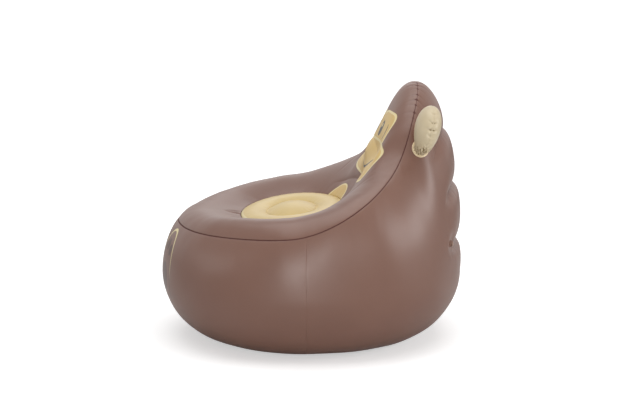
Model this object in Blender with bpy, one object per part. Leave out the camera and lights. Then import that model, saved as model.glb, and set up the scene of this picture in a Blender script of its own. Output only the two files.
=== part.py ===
"""Inflatable child's chair with an animal's head and ears, in metres, +Z up.

The chair faces -Y. It is one bag of thin welded vinyl film: a belly wall in two halves,
a tub that makes the arms and the padded face of the backrest, a seat disc and a flat base.
Welded strips inside hold the seat and the backrest in shape, two small pillows are the ears,
and a push-in valve sits low on the left of the back.
Every panel is a ruled or lofted sheet between seam lines, given the film's thickness.
"""
import math

import bmesh
import bpy
import numpy as np
from mathutils import Matrix, Vector

# Outside of the blown-up chair
HALF_WIDTH = 0.350
FRONT_REACH = 0.356
REAR_REACH = 0.380
HEIGHT = 0.628
BELLY_FRONT_HEIGHT = 0.160
BELLY_REAR_HEIGHT = 0.174
BASE_SHARE = 0.53
FOOT_FULLNESS_SHARE = 0.94
REAR_SQUARENESS_SHARE = 2.12

# Film and welds
FILM = 0.0004
SEAM_GAP = 0.0003
TIE_GAP = 0.00060
WELD_WIDTH = 0.004
WELD_STEP_SHARE = 0.01
TAB_WIDTH = 0.008
BASE_RING_SHARE = 0.5

# Seat disc
SEAT_HALF_WIDTH = 0.172
SEAT_HALF_LENGTH = 0.126
SEAT_SETBACK = -0.036
SEAT_FRONT_HEIGHT = 0.300
SEAT_REAR_HEIGHT = 0.326
SEAT_CROWN = 0.009
SEAT_CENTRE_CROWN = 0.010
RING_WELD_DEPTH = 0.002
RING_WELD_SHARE = 0.49
SEAT_ROW_SHARES = (1.0, 0.93, 0.72, RING_WELD_SHARE, 0.26)
RIM_TIE_ROW = 1
CENTRE_TIE_ROW = 3

# Back ties, by their share of the height from the belly line to the rim
TIE_LEVEL_SHARES = (0.152, 0.460, 0.751)
TIE_HALF_WIDTH = 0.100
TIE_FADE = 0.055
REAR_CREASE_DEPTHS = (0.022, 0.019, 0.014)
REAR_CREASE_RISE = 0.026
REAR_CREASE_DROP = 0.013
REAR_BULGE = 0.0055
FRONT_CREASE_DEPTH = 0.006
FRONT_CREASE_REACH_SHARE = 0.05

# Waves across the face: the muzzle and the shoulders stand forward of the hollows between
FACE_WAVE = 0.012
FACE_WAVE_FORWARD_SHARE = 0.35
FACE_WAVE_LENGTH = 0.185
FACE_WAVE_HEIGHT = 0.465
FACE_WAVE_REACH = 0.045
FACE_WAVE_END = 0.210
FACE_WAVE_FADE = 0.060
MIDDLE_SHARE = 0.5
WAVE_SPREAD_SHARE = 0.25
TIE_COLUMNS = 2

# Ring ties and their vents
VENT_RADIUS = 0.012
RING_VENTS = 6
STRIP_VENT_RADIUS = 0.010
VENT_SIDES = 12

# Stations round half the rim, front to rear: place on the belly line in degrees, the rim
# seam's x, y and z as shares of the half width, the reach and the height, the turn of the
# wall above the belly line in degrees, and the tub's crown as shares of the height:
# how far it leans in and rises at the rim, and leans out and rises at the seat
STATION_DEGREES = (0, 20, 39, 58, 77, 90, 104, 117, 130, 141, 152, 165, 180)
RIM_X_SHARES = (0.0, 0.29, 0.557, 0.766, 0.903, 0.931, 0.906, 0.783, 0.594, 0.471, 0.389, 0.217, 0.0)
RIM_Y_SHARES = (-0.888, -0.829, -0.685, -0.461, -0.2, 0.0, 0.202, 0.384, 0.518, 0.597, 0.655, 0.7, 0.705)
RIM_Z_SHARES = (0.457, 0.457, 0.463, 0.472, 0.483, 0.499, 0.547, 0.612, 0.68, 0.756, 0.863, 0.963, 1.0)
WALL_TURN_DEGREES = (61, 61, 61, 62, 62, 62, 60, 58, 56, 57, 62, 77, 89)
RIM_LEAN_SHARES = (0.046, 0.048, 0.049, 0.05, 0.05, 0.053, 0.058, 0.072, 0.088, 0.098, 0.11, 0.12, 0.132)
RIM_RISE_SHARES = (0.066, 0.07, 0.078, 0.088, 0.097, 0.096, 0.085, 0.066, 0.04, 0.021, 0.01, 0.008, 0.014)
SEAT_LEAN_SHARES = (0.108, 0.106, 0.1, 0.094, 0.09, 0.087, 0.081, 0.072, 0.068, 0.069, 0.074, 0.096, 0.12)
SEAT_RISE_SHARES = (0.019, 0.026, 0.036, 0.046, 0.049, 0.046, 0.046, 0.052, 0.065, 0.08, 0.097, 0.106, 0.112)
SIDE_STATION = 5

# Mesh rows and columns
HALF_COLUMNS = 24
FOOT_ROWS = 5
FRONT_LEVEL_SHARES = (0.25, 0.5, 0.75, 0.9, 1.0)
REAR_LEVEL_SHARES = (0.152, 0.3, 0.46, 0.605, 0.751, 0.86, 0.94, 0.985, 1.0)
TUB_ROW_SHARES = (0.0, 0.07, 0.16, 0.27, 0.40, 0.54, 0.68, 0.81, 0.91, 1.0)
TUB_TIE_ROWS = (7, 5)

# Ears: the neck's place on the rear wall, then the pillow's sizes in its own plane
EAR_TURN_SHARE = 0.82
EAR_LEVEL_SHARE = 0.885
EAR_NECK_RADIUS = 0.018
EAR_FLANGE_WIDTH = 0.004
EAR_SEAT_GAP = 0.0009
EAR_HALF_WIDTH = 0.045
EAR_HALF_HEIGHT = 0.058
EAR_HALF_THICKNESS = 0.0335
EAR_OUTWARD = 0.046
EAR_UPWARD = 0.047
EAR_FORWARD = 0.007
EAR_NARROWING_SHARE = 0.25
EAR_LEAN_DEGREES = 13.0
RIGHT_EAR_UPWARD = 0.042
RIGHT_EAR_LEAN_DEGREES = 6.0
EAR_TILT_DEGREES = 8.0
EAR_SWEEP_DEGREES = 10.0
EAR_WELD_WIDTH = 0.003
EAR_COLUMNS = 6
EAR_INNER_DEGREES = (195, 170, 148, 128, 110)
EAR_OUTER_DEGREES = (-110, -65, -25, 15, 55)
EAR_TIP_DEGREES = 86
EAR_AIR_HOLE_RADIUS = 0.008

# Valve
VALVE_TURN_SHARE = 0.87
VALVE_LEVEL_SHARE = 0.205
VALVE_SIDES = 24
FLANGE_RADIUS = 0.015
FLANGE_THICKNESS = 0.0010
COLLAR_RADIUS = 0.0080
COLLAR_STANDOUT = 0.0025
COLLAR_DEPTH = 0.0042
STEM_RADIUS = 0.0054
STEM_WALL = 0.0014
STEM_DEPTH = 0.0200
STEM_LIP_RADIUS = 0.0070
STEM_LIP_THICKNESS = 0.0012
PLUG_CAP_RADIUS = 0.0066
PLUG_CAP_THICKNESS = 0.0016
PLUG_SPIGOT_LENGTH = 0.0070
FLAP_THICKNESS = 0.0006
FIT_GAP = 0.0003
HOLE_CLEARANCE = 0.0005
FLANGE_SEAT_GAP = 0.0006
CUT_OVERRUN = 0.010
MERGE_DISTANCE = 0.00003

# The side seams stand at y = 0 of the sections; this puts the origin mid-depth
CENTRE_SHIFT = (FRONT_REACH - REAR_REACH) / 2

BROWN_COLOUR = (0.20, 0.115, 0.085)
CREAM_COLOUR = (0.72, 0.60, 0.40)
CLEAR_COLOUR = (0.62, 0.60, 0.55)
VALVE_COLOUR = (0.55, 0.47, 0.38)
FILM_ROUGHNESS = 0.42
VALVE_ROUGHNESS = 0.35
SHARP_DEGREES = 40.0


def along(shares, turn, odd=False):
    """Smooth value at each turn, which is 0 at the front and 1 or -1 at the rear."""
    sign = -1.0 if odd else 1.0
    padded = np.array([sign * shares[1], *shares, sign * shares[-2]], float)
    place = np.abs(turn) * (len(shares) - 1)
    first = np.clip(np.floor(place).astype(int), 0, len(shares) - 2)
    part = place - first
    before, start, end, after = (padded[first + step] for step in range(4))
    slope = end - before
    bend = 2 * before - 5 * start + 4 * end - after
    twist = 3 * start - before - 3 * end + after
    value = start + part * (slope + part * (bend + part * twist)) / 2
    return value * np.where(np.asarray(turn) < 0, sign, 1.0)


def belly_point(turn):
    """Widest line: half an ellipse in front and a slightly squarer one behind."""
    angle = np.radians(along(STATION_DEGREES, np.abs(turn)))
    squareness = np.where(angle > math.pi / 2, 2 / REAR_SQUARENESS_SHARE, 1.0)
    reach = np.where(angle > math.pi / 2, REAR_REACH, FRONT_REACH)
    x = HALF_WIDTH * np.abs(np.sin(angle)) ** squareness * np.sign(turn)
    y = -reach * np.sign(np.cos(angle)) * np.abs(np.cos(angle)) ** squareness
    z = BELLY_FRONT_HEIGHT + (BELLY_REAR_HEIGHT - BELLY_FRONT_HEIGHT) * (1 - np.cos(angle)) / 2
    return np.stack([x, y, z], -1)


def rim_point(turn):
    """Rim seam, where the belly wall meets the tub."""
    y_share = along(RIM_Y_SHARES, turn)
    x = HALF_WIDTH * along(RIM_X_SHARES, turn, odd=True)
    y = np.where(y_share < 0, FRONT_REACH, REAR_REACH) * y_share
    return np.stack([x, y, HEIGHT * along(RIM_Z_SHARES, turn)], -1)


def seat_point(turn, radius_share):
    """Seat disc: a tilted oval with a crown each side of the round weld at its middle."""
    angle = np.radians(along(STATION_DEGREES, np.abs(turn)))
    x = SEAT_HALF_WIDTH * radius_share * np.sin(angle) * np.sign(turn)
    y = SEAT_SETBACK - SEAT_HALF_LENGTH * radius_share * np.cos(angle)
    tilt = (SEAT_REAR_HEIGHT - SEAT_FRONT_HEIGHT) / 2
    plane = SEAT_FRONT_HEIGHT + tilt * (1 - radius_share * np.cos(angle))
    ring = (radius_share - RING_WELD_SHARE) / (1 - RING_WELD_SHARE)
    inner = radius_share / RING_WELD_SHARE
    outer_crown = SEAT_CROWN * 4 * ring * (1 - ring) - RING_WELD_DEPTH * (1 - ring)
    inner_crown = SEAT_CENTRE_CROWN * (1 - inner ** 2) - RING_WELD_DEPTH
    return np.stack([x, y, plane + np.where(ring > 0, outer_crown, inner_crown)], -1)


def side_fade(x, end=TIE_HALF_WIDTH, fade=TIE_FADE):
    """1 across the middle as far as the end, easing to 0 beyond it."""
    part = np.clip((end + fade - np.abs(x)) / fade, 0, 1)
    return part * part * (3 - 2 * part)


def wall_point(turn, level):
    """Belly wall: level -1 at the base, 0 on the belly line, 1 at the rim seam."""
    turn, level = np.broadcast_arrays(np.asarray(turn, float), np.asarray(level, float))
    belly, rim = belly_point(turn), rim_point(turn)
    foot = (1 + np.minimum(level, 0)) * math.pi / 2
    spread = BASE_SHARE + (1 - BASE_SHARE) * np.sin(foot) ** FOOT_FULLNESS_SHARE
    lower_z = belly[..., 2] * (1 - np.cos(foot))
    turned = np.radians(along(WALL_TURN_DEGREES, turn))
    rise = np.clip(level, 0, 1)
    lean = (1 - np.cos(np.arcsin(rise * np.sin(turned)))) / (1 - np.cos(turned))
    flat = belly[..., :2] * spread[..., None] + (rim - belly)[..., :2] * lean[..., None]
    z = lower_z + (rim - belly)[..., 2] * rise
    depth = -REAR_BULGE * np.sqrt(np.sin(math.pi * rise))
    for share, crease in zip(TIE_LEVEL_SHARES, REAR_CREASE_DEPTHS):
        over = (level - share) * (HEIGHT - BELLY_REAR_HEIGHT)
        depth = depth + crease * np.exp(-np.maximum(over / REAR_CREASE_RISE, -over / REAR_CREASE_DROP))
    behind = np.abs(turn) > SIDE_STATION / (len(STATION_DEGREES) - 1)
    depth = depth * side_fade(flat[..., 0]) * behind
    outward = belly[..., :2] / np.linalg.norm(belly[..., :2], axis=-1, keepdims=True)
    flat = flat - outward * depth[..., None]
    return np.stack([flat[..., 0], flat[..., 1], z], -1)


def tub_handles(turn):
    """Rim point, the two crown handles and the seat's edge, for the tub's cross-section."""
    rim, seat = rim_point(turn), seat_point(turn, np.ones_like(turn))
    inward = (seat - rim) * (1, 1, 0)
    inward = inward / np.linalg.norm(inward, axis=-1, keepdims=True)
    up = np.array([0, 0, HEIGHT])
    rim_handle = rim + inward * HEIGHT * along(RIM_LEAN_SHARES, turn)[..., None]
    rim_handle = rim_handle + up * along(RIM_RISE_SHARES, turn)[..., None]
    seat_handle = seat - inward * HEIGHT * along(SEAT_LEAN_SHARES, turn)[..., None]
    seat_handle = seat_handle + up * along(SEAT_RISE_SHARES, turn)[..., None]
    return rim, rim_handle, seat_handle, seat, inward


def tub_point(turn, share):
    """Tub: one smooth curve from the rim seam (share 0) over the arm to the seat (share 1)."""
    turn, share = np.broadcast_arrays(np.asarray(turn, float), np.asarray(share, float))
    rim, rim_handle, seat_handle, seat, inward = tub_handles(turn)
    near, far = 1 - share[..., None], share[..., None]
    point = near ** 3 * rim + 3 * near ** 2 * far * rim_handle
    point = point + 3 * near * far ** 2 * seat_handle + far ** 3 * seat
    places = [TUB_ROW_SHARES[row] for row in TUB_TIE_ROWS]
    pinch = sum(np.exp(-np.abs(share - place) / FRONT_CREASE_REACH_SHARE) for place in places)
    depth = FRONT_CREASE_DEPTH * pinch * side_fade(point[..., 0])
    x, z = point[..., 0], point[..., 2]
    wave = np.cos(2 * math.pi * x / FACE_WAVE_LENGTH) + FACE_WAVE_FORWARD_SHARE
    wave = wave * np.exp(-((z - FACE_WAVE_HEIGHT) / FACE_WAVE_REACH) ** 2)
    wave = wave * side_fade(x, FACE_WAVE_END, FACE_WAVE_FADE)
    depth = depth - FACE_WAVE * wave * side_fade(share - MIDDLE_SHARE, WAVE_SPREAD_SHARE, WAVE_SPREAD_SHARE)
    return point - inward * (depth * (rim[..., 1] > 0))[..., None]


def grid(function, turns, rows):
    """Points of a surface, row by row."""
    return np.array([function(turns, np.full(len(turns), row)) for row in rows])


def unit(vectors):
    return vectors / np.linalg.norm(vectors, axis=-1, keepdims=True)


def weld_frame(first_edge, second_edge, tangent, inside):
    """Directions across a weld (towards the first panel) and into the bag along it."""
    across = unit(unit(first_edge) - unit(second_edge))
    inward = unit(np.cross(tangent, across))
    inward = inward * np.sign((inward * inside).sum(-1, keepdims=True))
    across = unit(np.cross(inward, tangent))
    across = across * np.sign((across * first_edge).sum(-1, keepdims=True))
    return across, inward


def wrapped(turns):
    """The same turns, kept between -1 and 1."""
    return (np.asarray(turns) + 1) % 2 - 1


def seam_tangent(function, turns):
    """Direction along a seam at each column."""
    step = 1 / HALF_COLUMNS
    return unit(function(wrapped(turns + step)) - function(wrapped(turns - step)))


def grid_normals(points):
    """Outward normals at the points of a surface's rows."""
    up = np.gradient(points, axis=0)
    round_about = np.gradient(points, axis=1)
    return unit(np.cross(round_about, up))


def make_object(name, vertices, faces, colour, roughness=FILM_ROUGHNESS):
    """Mesh object with its own material, moved so that the origin is mid-depth."""
    mesh = bpy.data.meshes.new(name)
    shifted = np.reshape(vertices, (-1, 3)) + (0, CENTRE_SHIFT, 0)
    mesh.from_pydata([tuple(point) for point in shifted], [], faces)
    mesh.validate()
    mesh.shade_smooth()
    piece = bpy.data.objects.new(name, mesh)
    bpy.context.scene.collection.objects.link(piece)
    material = bpy.data.materials.new(name)
    material.use_nodes = True
    shader = material.node_tree.nodes["Principled BSDF"]
    shader.inputs["Base Color"].default_value = (*colour, 1.0)
    shader.inputs["Roughness"].default_value = roughness
    shader.inputs["Metallic"].default_value = 0.0
    mesh.materials.append(material)
    return piece


def thicken(piece, centred=False):
    """Gives a sheet the film's thickness, inwards or to both sides."""
    sheet = piece.modifiers.new("Film", "SOLIDIFY")
    sheet.thickness = FILM
    sheet.offset = 0.0 if centred else -1.0
    sheet.use_even_offset = True
    sheet.use_quality_normals = True
    return piece


def strip_faces(first, second, closed):
    """Quads between two rows of vertex numbers, facing the row order's right-hand side."""
    count = len(first) if closed else len(first) - 1
    faces = []
    for step in range(count):
        after = (step + 1) % len(first)
        faces.append((first[step], first[after], second[after], second[step]))
    return faces


def sheet_from_rows(rows, closed, middle=None):
    """Vertices and faces of a sheet of point rows, with a point in its middle if given."""
    width = rows[0].shape[0]
    vertices = [point for row in rows for point in row]
    numbers = [list(range(step * width, (step + 1) * width)) for step in range(len(rows))]
    faces = []
    for first, second in zip(numbers, numbers[1:]):
        faces += strip_faces(first, second, closed)
    if middle is not None:
        vertices.append(middle)
        last = numbers[-1]
        for step in range(width):
            faces.append((last[step], last[(step + 1) % width], len(vertices) - 1))
    return vertices, faces


def cut(piece, cutter):
    """Takes a hidden cutter out of a piece."""
    cutter.hide_render = True
    cutter.display_type = "WIRE"
    change = piece.modifiers.new("Cut", "BOOLEAN")
    change.operation = "DIFFERENCE"
    change.solver = "EXACT"
    change.object = cutter


def peg(name, centre, axis, radius, length, sides):
    """Solid round peg, used as a cutter."""
    mesh = bpy.data.meshes.new(name)
    body = bmesh.new()
    turn = Vector((0, 0, 1)).rotation_difference(Vector(axis)).to_matrix().to_4x4()
    place = Matrix.Translation(Vector(centre) + Vector((0, CENTRE_SHIFT, 0))) @ turn
    bmesh.ops.create_cone(body, cap_ends=True, segments=sides, radius1=radius, radius2=radius,
                          depth=length, matrix=place)
    body.to_mesh(mesh)
    body.free()
    piece = bpy.data.objects.new(name, mesh)
    bpy.context.scene.collection.objects.link(piece)
    return piece


def join_pegs(name, pegs):
    """One cutter from several pegs."""
    body = bmesh.new()
    for one in pegs:
        body.from_mesh(one.data)
        bpy.data.objects.remove(one)
    mesh = bpy.data.meshes.new(name)
    body.to_mesh(mesh)
    body.free()
    piece = bpy.data.objects.new(name, mesh)
    bpy.context.scene.collection.objects.link(piece)
    return piece


RING_TURNS = np.arange(-HALF_COLUMNS + 1, HALF_COLUMNS + 1) / HALF_COLUMNS
SIDE_COLUMN = SIDE_STATION * HALF_COLUMNS // (len(STATION_DEGREES) - 1)
FRONT_TURNS = np.arange(-SIDE_COLUMN, SIDE_COLUMN + 1) / HALF_COLUMNS
REAR_STEPS = np.arange(SIDE_COLUMN, 2 * HALF_COLUMNS - SIDE_COLUMN + 1)
REAR_TURNS = np.where(REAR_STEPS > HALF_COLUMNS, REAR_STEPS - 2 * HALF_COLUMNS, REAR_STEPS)
REAR_TURNS = REAR_TURNS / HALF_COLUMNS
FOOT_LEVELS = [step / FOOT_ROWS - 1 for step in range(FOOT_ROWS + 1)]
TIE_TURNS = wrapped(np.arange(HALF_COLUMNS - TIE_COLUMNS, HALF_COLUMNS + TIE_COLUMNS + 1) / HALF_COLUMNS)
TIE_TURNS[TIE_COLUMNS] = 1.0
TIE_CLEARANCE = FILM + TIE_GAP


def rim_weld(turns):
    """Weld directions along the rim seam, with the wall as the first panel."""
    rim = rim_point(turns)
    down = wall_point(turns, 1 - WELD_STEP_SHARE) - wall_point(turns, 1)
    over = tub_point(turns, WELD_STEP_SHARE) - tub_point(turns, 0)
    middle = seat_point(turns, np.zeros(len(turns)))
    across, inward = weld_frame(down, over, seam_tangent(rim_point, turns), middle - rim)
    at_side = np.isclose(np.abs(turns), SIDE_COLUMN / HALF_COLUMNS)[:, None]
    return across, unit(np.where(at_side, inward * (1, 0, 1), inward))


def seat_edge(turns):
    return seat_point(turns, np.ones(len(turns)))


def seat_weld(turns):
    """Weld directions round the seat, with the tub as the first panel."""
    edge = seat_edge(turns)
    over = tub_point(turns, 1 - WELD_STEP_SHARE) - edge
    disc = seat_point(turns, np.full(len(turns), SEAT_ROW_SHARES[1])) - edge
    return weld_frame(over, disc, seam_tangent(seat_edge, turns), np.array([0, 0, -1.0]))


def build_wall(name, turns, upper_shares, middle_side):
    """Half of the belly wall, from the base weld to the rim weld, with its edges turned in."""
    levels = FOOT_LEVELS + list(upper_shares)
    body = grid(wall_point, turns, levels)
    body[:, [0, -1], 1] += middle_side * SEAM_GAP / 2
    across, inward = rim_weld(turns)
    body[-1] += across * SEAM_GAP / 2
    outward = unit((body[1] - body[0]) * (1, 1, 0))
    body[0] += outward * SEAM_GAP / 2
    rows = [body[0] + np.array([0, 0, WELD_WIDTH]), *body, body[-1] + inward * WELD_WIDTH]
    vertices, faces = sheet_from_rows(rows, False)
    width = len(turns)
    for column in (0, width - 1):
        side = np.sign(body[0, column, 0])
        edge = [width * (row + 1) + column for row in range(len(levels))]
        turned = [column]
        for row in range(1, len(levels) - 1):
            slope = unit(body[row + 1, column] - body[row - 1, column])
            vertices.append(body[row, column] + side * WELD_WIDTH * np.array([-slope[2], 0, slope[0]]))
            turned.append(len(vertices) - 1)
        turned.append(width * (len(levels) + 1) + column)
        pair = (edge, turned) if column == 0 else (turned, edge)
        faces += strip_faces(*pair, False)
    return thicken(make_object(name, vertices, faces, BROWN_COLOUR))


def build_tub():
    """Arms and backrest face in one panel, from the rim weld to the seat weld."""
    body = grid(tub_point, RING_TURNS, TUB_ROW_SHARES)
    rim_across, rim_inward = rim_weld(RING_TURNS)
    seat_across, seat_down = seat_weld(RING_TURNS)
    body[0] -= rim_across * SEAM_GAP / 2
    body[-1] += seat_across * SEAM_GAP / 2
    rows = [body[0] + rim_inward * WELD_WIDTH, *body, body[-1] + seat_down * WELD_WIDTH]
    return thicken(make_object("tub_panel", *sheet_from_rows(rows, True), BROWN_COLOUR))


def build_seat():
    """Seat disc with the round weld at its middle."""
    body = grid(seat_point, RING_TURNS, SEAT_ROW_SHARES)
    across, down = seat_weld(RING_TURNS)
    body[0] -= across * SEAM_GAP / 2
    rows = [body[0] + down * WELD_WIDTH, *body]
    middle = seat_point(np.zeros(1), np.zeros(1))[0]
    return thicken(make_object("seat_panel", *sheet_from_rows(rows, True, middle), CREAM_COLOUR))


def build_base():
    """Flat base disc, its edge turned up inside the wall's."""
    edge = wall_point(RING_TURNS, -1)
    outward = unit((wall_point(RING_TURNS, FOOT_LEVELS[1]) - edge) * (1, 1, 0))
    rim = edge - outward * SEAM_GAP / 2
    rows = [rim + np.array([0, 0, WELD_WIDTH]), rim, rim * BASE_RING_SHARE]
    vertices, faces = sheet_from_rows(rows, True, np.zeros(3))
    return thicken(make_object("base_panel", vertices, [face[::-1] for face in faces], BROWN_COLOUR))


def ring_tie_points(row):
    """Top corner points of a ring tie, hung under one of the seat's rows."""
    drop = np.array([0, 0, -TIE_CLEARANCE])
    return seat_point(RING_TURNS, np.full(len(RING_TURNS), SEAT_ROW_SHARES[row])) + drop


def build_ring_tie(name, row):
    """Upright ring of film between the seat and the base, with welded tabs and vents."""
    top, inner = ring_tie_points(row), ring_tie_points(row + 1)
    reach = np.linalg.norm((inner - top)[:, :2], axis=1, keepdims=True)
    top_tab = top + (inner - top) * TAB_WIDTH / reach
    foot_height = FILM + SEAM_GAP
    foot = top * (1, 1, 0) + np.array([0, 0, foot_height])
    foot_tab = top_tab * (1, 1, 0) + np.array([0, 0, foot_height])
    rows = [foot_tab, foot, (foot + top) / 2, top, top_tab]
    piece = thicken(make_object(name, *sheet_from_rows(rows, True), CLEAR_COLOUR))
    pegs = []
    for vent in range(RING_VENTS):
        column = len(RING_TURNS) * vent // RING_VENTS
        centre = (foot + top)[column] / 2
        axis = unit(centre * (1, 1, 0) - np.array([0, SEAT_SETBACK, 0]))
        pegs.append(peg("vent", centre, axis, VENT_RADIUS, CUT_OVERRUN, VENT_SIDES))
    cut(piece, join_pegs(name + "_vents", pegs))


def inside_of(points, row, lower_row, tab_width):
    """Edge and tab of a tie against the inner face of a panel's row."""
    hidden = points - grid_normals(points) * TIE_CLEARANCE
    edge, lower = hidden[row], hidden[lower_row]
    length = np.linalg.norm(lower - edge, axis=1, keepdims=True)
    return edge, edge + (lower - edge) * tab_width / length


def build_back_tie(name, level_row, front_edge, front_tab):
    """Level strip of film from a rear crease to the front, with welded tabs and vents."""
    points = grid(wall_point, TIE_TURNS, REAR_LEVEL_SHARES)
    below = grid(wall_point, TIE_TURNS, [0.0])
    points = np.concatenate([below, points])
    edge, tab = inside_of(points, level_row + 1, level_row, TAB_WIDTH)
    rows = [tab, edge, (edge + front_edge) / 2, front_edge, front_tab]
    piece = thicken(make_object(name, *sheet_from_rows(rows, False), CLEAR_COLOUR))
    middle = (edge + front_edge) / 2
    pegs = []
    for column in (1, len(TIE_TURNS) - 2):
        pegs.append(peg("vent", middle[column], (0, 0, 1), STRIP_VENT_RADIUS, CUT_OVERRUN, VENT_SIDES))
    cut(piece, join_pegs(name + "_vents", pegs))


def build_back_ties():
    """Three strips: one to the ring tie under the seat, two to the face of the backrest."""
    lower_row = REAR_LEVEL_SHARES.index(TIE_LEVEL_SHARES[0])
    crease_height = wall_point(TIE_TURNS, TIE_LEVEL_SHARES[0])[:, 2:]
    ring = seat_point(TIE_TURNS, np.full(len(TIE_TURNS), SEAT_ROW_SHARES[RIM_TIE_ROW]))
    outward = unit(ring * (1, 1, 0) - np.array([0, SEAT_SETBACK, 0]))
    ring_edge = ring * (1, 1, 0) + outward * TIE_CLEARANCE + crease_height * (0, 0, 1)
    ring_tab = ring_edge - np.array([0, 0, TAB_WIDTH])
    build_back_tie("back_tie_lower", lower_row, ring_edge, ring_tab)
    tub = grid(tub_point, TIE_TURNS, TUB_ROW_SHARES)
    for name, share, row in zip(("back_tie_middle", "back_tie_upper"), TIE_LEVEL_SHARES[1:], TUB_TIE_ROWS):
        edge, tab = inside_of(tub, row, row + 1, TAB_WIDTH)
        build_back_tie(name, REAR_LEVEL_SHARES.index(share), edge, tab)


def faceted_wall(turn, level):
    """Point on the rear wall's flat facets, which lie a little inside its true curve."""
    levels = np.array(FOOT_LEVELS + list(REAR_LEVEL_SHARES))
    row = int(np.clip(np.searchsorted(levels, level, side="right") - 1, 0, len(levels) - 2))
    column = math.floor(turn * HALF_COLUMNS)
    across = turn * HALF_COLUMNS - column
    upward = (level - levels[row]) / (levels[row + 1] - levels[row])
    low = grid(wall_point, np.array([column, column + 1]) / HALF_COLUMNS, levels[row:row + 2])
    rows = low[:, 0] * (1 - across) + low[:, 1] * across
    return rows[0] * (1 - upward) + rows[1] * upward


class WallSpot:
    """A place on the rear wall, with its normal, its uphill direction and a way round it."""

    def __init__(self, turn, level):
        step = WELD_STEP_SHARE
        self.turn, self.level = turn, level
        self.point = faceted_wall(turn, level)
        sideways = (wall_point(turn + step, level) - wall_point(turn - step, level)) / (2 * step)
        uphill = (wall_point(turn, level + step) - wall_point(turn, level - step)) / (2 * step)
        self.slopes = np.linalg.pinv(np.stack([sideways, uphill], 1))
        self.normal = unit(np.cross(sideways, uphill))
        self.uphill = unit(uphill)
        self.sideways = np.cross(self.uphill, self.normal)

    def on_wall(self, offset, height):
        """Point of the wall an offset away from the spot, raised along its normal."""
        turn_step, level_step = self.slopes @ offset
        return faceted_wall(self.turn + turn_step, self.level + level_step) + self.normal * height


def ear_axes(lean_degrees):
    """Outward, upward and forward directions of the left ear's plane."""
    lean, sweep = math.radians(lean_degrees), math.radians(EAR_SWEEP_DEGREES)
    upward = unit(np.array([-math.tan(math.radians(EAR_TILT_DEGREES)), math.sin(lean), math.cos(lean)]))
    outward = np.array([math.cos(sweep), math.sin(sweep), 0])
    outward = unit(outward - upward * (outward @ upward))
    return outward, upward, np.cross(outward, upward)


def ear_rows(face_side, reach_up, lean_degrees):
    """Rows of one film of a left ear from its flange on the head to its tip."""
    spot = WallSpot(EAR_TURN_SHARE, EAR_LEVEL_SHARE)
    outward, upward, forward = ear_axes(lean_degrees)
    neck_up = unit(upward - spot.normal * (upward @ spot.normal))
    neck_front = unit(np.cross(spot.normal, neck_up))
    neck_front = neck_front * np.sign(neck_front @ forward) * face_side
    seat_height = EAR_SEAT_GAP + FILM
    rows = []
    for radius in (EAR_NECK_RADIUS + EAR_FLANGE_WIDTH, EAR_NECK_RADIUS):
        row = []
        for step in range(EAR_COLUMNS + 1):
            angle = math.pi * step / EAR_COLUMNS
            offset = radius * (math.cos(angle) * neck_up + math.sin(angle) * neck_front)
            row.append(spot.on_wall(offset, seat_height))
        rows.append(np.array(row))
    centre = spot.point + outward * EAR_OUTWARD + upward * reach_up + forward * EAR_FORWARD

    def place(out_share, up_share):
        bulge = math.sqrt(max(0.0, 1 - out_share ** 2 - up_share ** 2))
        bulge = bulge * (1 + EAR_NARROWING_SHARE * (up_share - 1) / 2)
        return (centre + outward * EAR_HALF_WIDTH * out_share + upward * EAR_HALF_HEIGHT * up_share
                + forward * face_side * EAR_HALF_THICKNESS * bulge)

    for inner_degrees, outer_degrees in zip(EAR_INNER_DEGREES, EAR_OUTER_DEGREES):
        inner, outer = math.radians(inner_degrees), math.radians(outer_degrees)
        row = []
        for step in range(EAR_COLUMNS + 1):
            part = (1 - math.cos(math.pi * step / EAR_COLUMNS)) / 2
            out_share = math.cos(inner) * (1 - part) + math.cos(outer) * part
            up_share = math.sin(inner) * (1 - part) + math.sin(outer) * part
            row.append(place(out_share, up_share))
        rows.append(np.array(row))
    tip = math.radians(EAR_TIP_DEGREES)
    shift = forward * face_side * SEAM_GAP / 2
    rows = [row + shift for row in rows]
    return rows, place(math.cos(tip), math.sin(tip)) + shift, centre + shift


def build_ear_film(name, face_side, reach_up, lean_degrees, mirrored):
    """One film of an ear: half a pillow with its outer edge turned in and its flange turned out."""
    rows, tip, centre = ear_rows(face_side, reach_up, lean_degrees)
    vertices, faces = sheet_from_rows(rows, False)
    width = EAR_COLUMNS + 1
    vertices.append(tip)
    tip_number = len(vertices) - 1
    last = (len(rows) - 1) * width
    for step in range(EAR_COLUMNS):
        faces.append((last + step, last + step + 1, tip_number))

    def turned_in(number):
        point = vertices[number]
        vertices.append(point + unit(centre - point) * EAR_WELD_WIDTH)
        return len(vertices) - 1

    tip_inside = turned_in(tip_number)
    for column in (0, width - 1):
        edge = [width * row + column for row in range(1, len(rows))] + [tip_number]
        turned = [edge[0]] + [turned_in(number) for number in edge[1:-1]] + [tip_inside]
        pair = (edge, turned) if column == 0 else (turned, edge)
        for face in strip_faces(*pair, False):
            faces.append(tuple(dict.fromkeys(face)))
    if mirrored:
        vertices = [point * (-1, 1, 1) for point in vertices]
    if mirrored != (face_side < 0):
        faces = [face[::-1] for face in faces]
    thicken(make_object(name, vertices, faces, CREAM_COLOUR))


def build_ears():
    for side, reach_up, lean_degrees in (("left", EAR_UPWARD, EAR_LEAN_DEGREES),
                                         ("right", RIGHT_EAR_UPWARD, RIGHT_EAR_LEAN_DEGREES)):
        mirrored = side == "right"
        build_ear_film(f"ear_{side}_front", 1, reach_up, lean_degrees, mirrored)
        build_ear_film(f"ear_{side}_rear", -1, reach_up, lean_degrees, mirrored)


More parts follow.
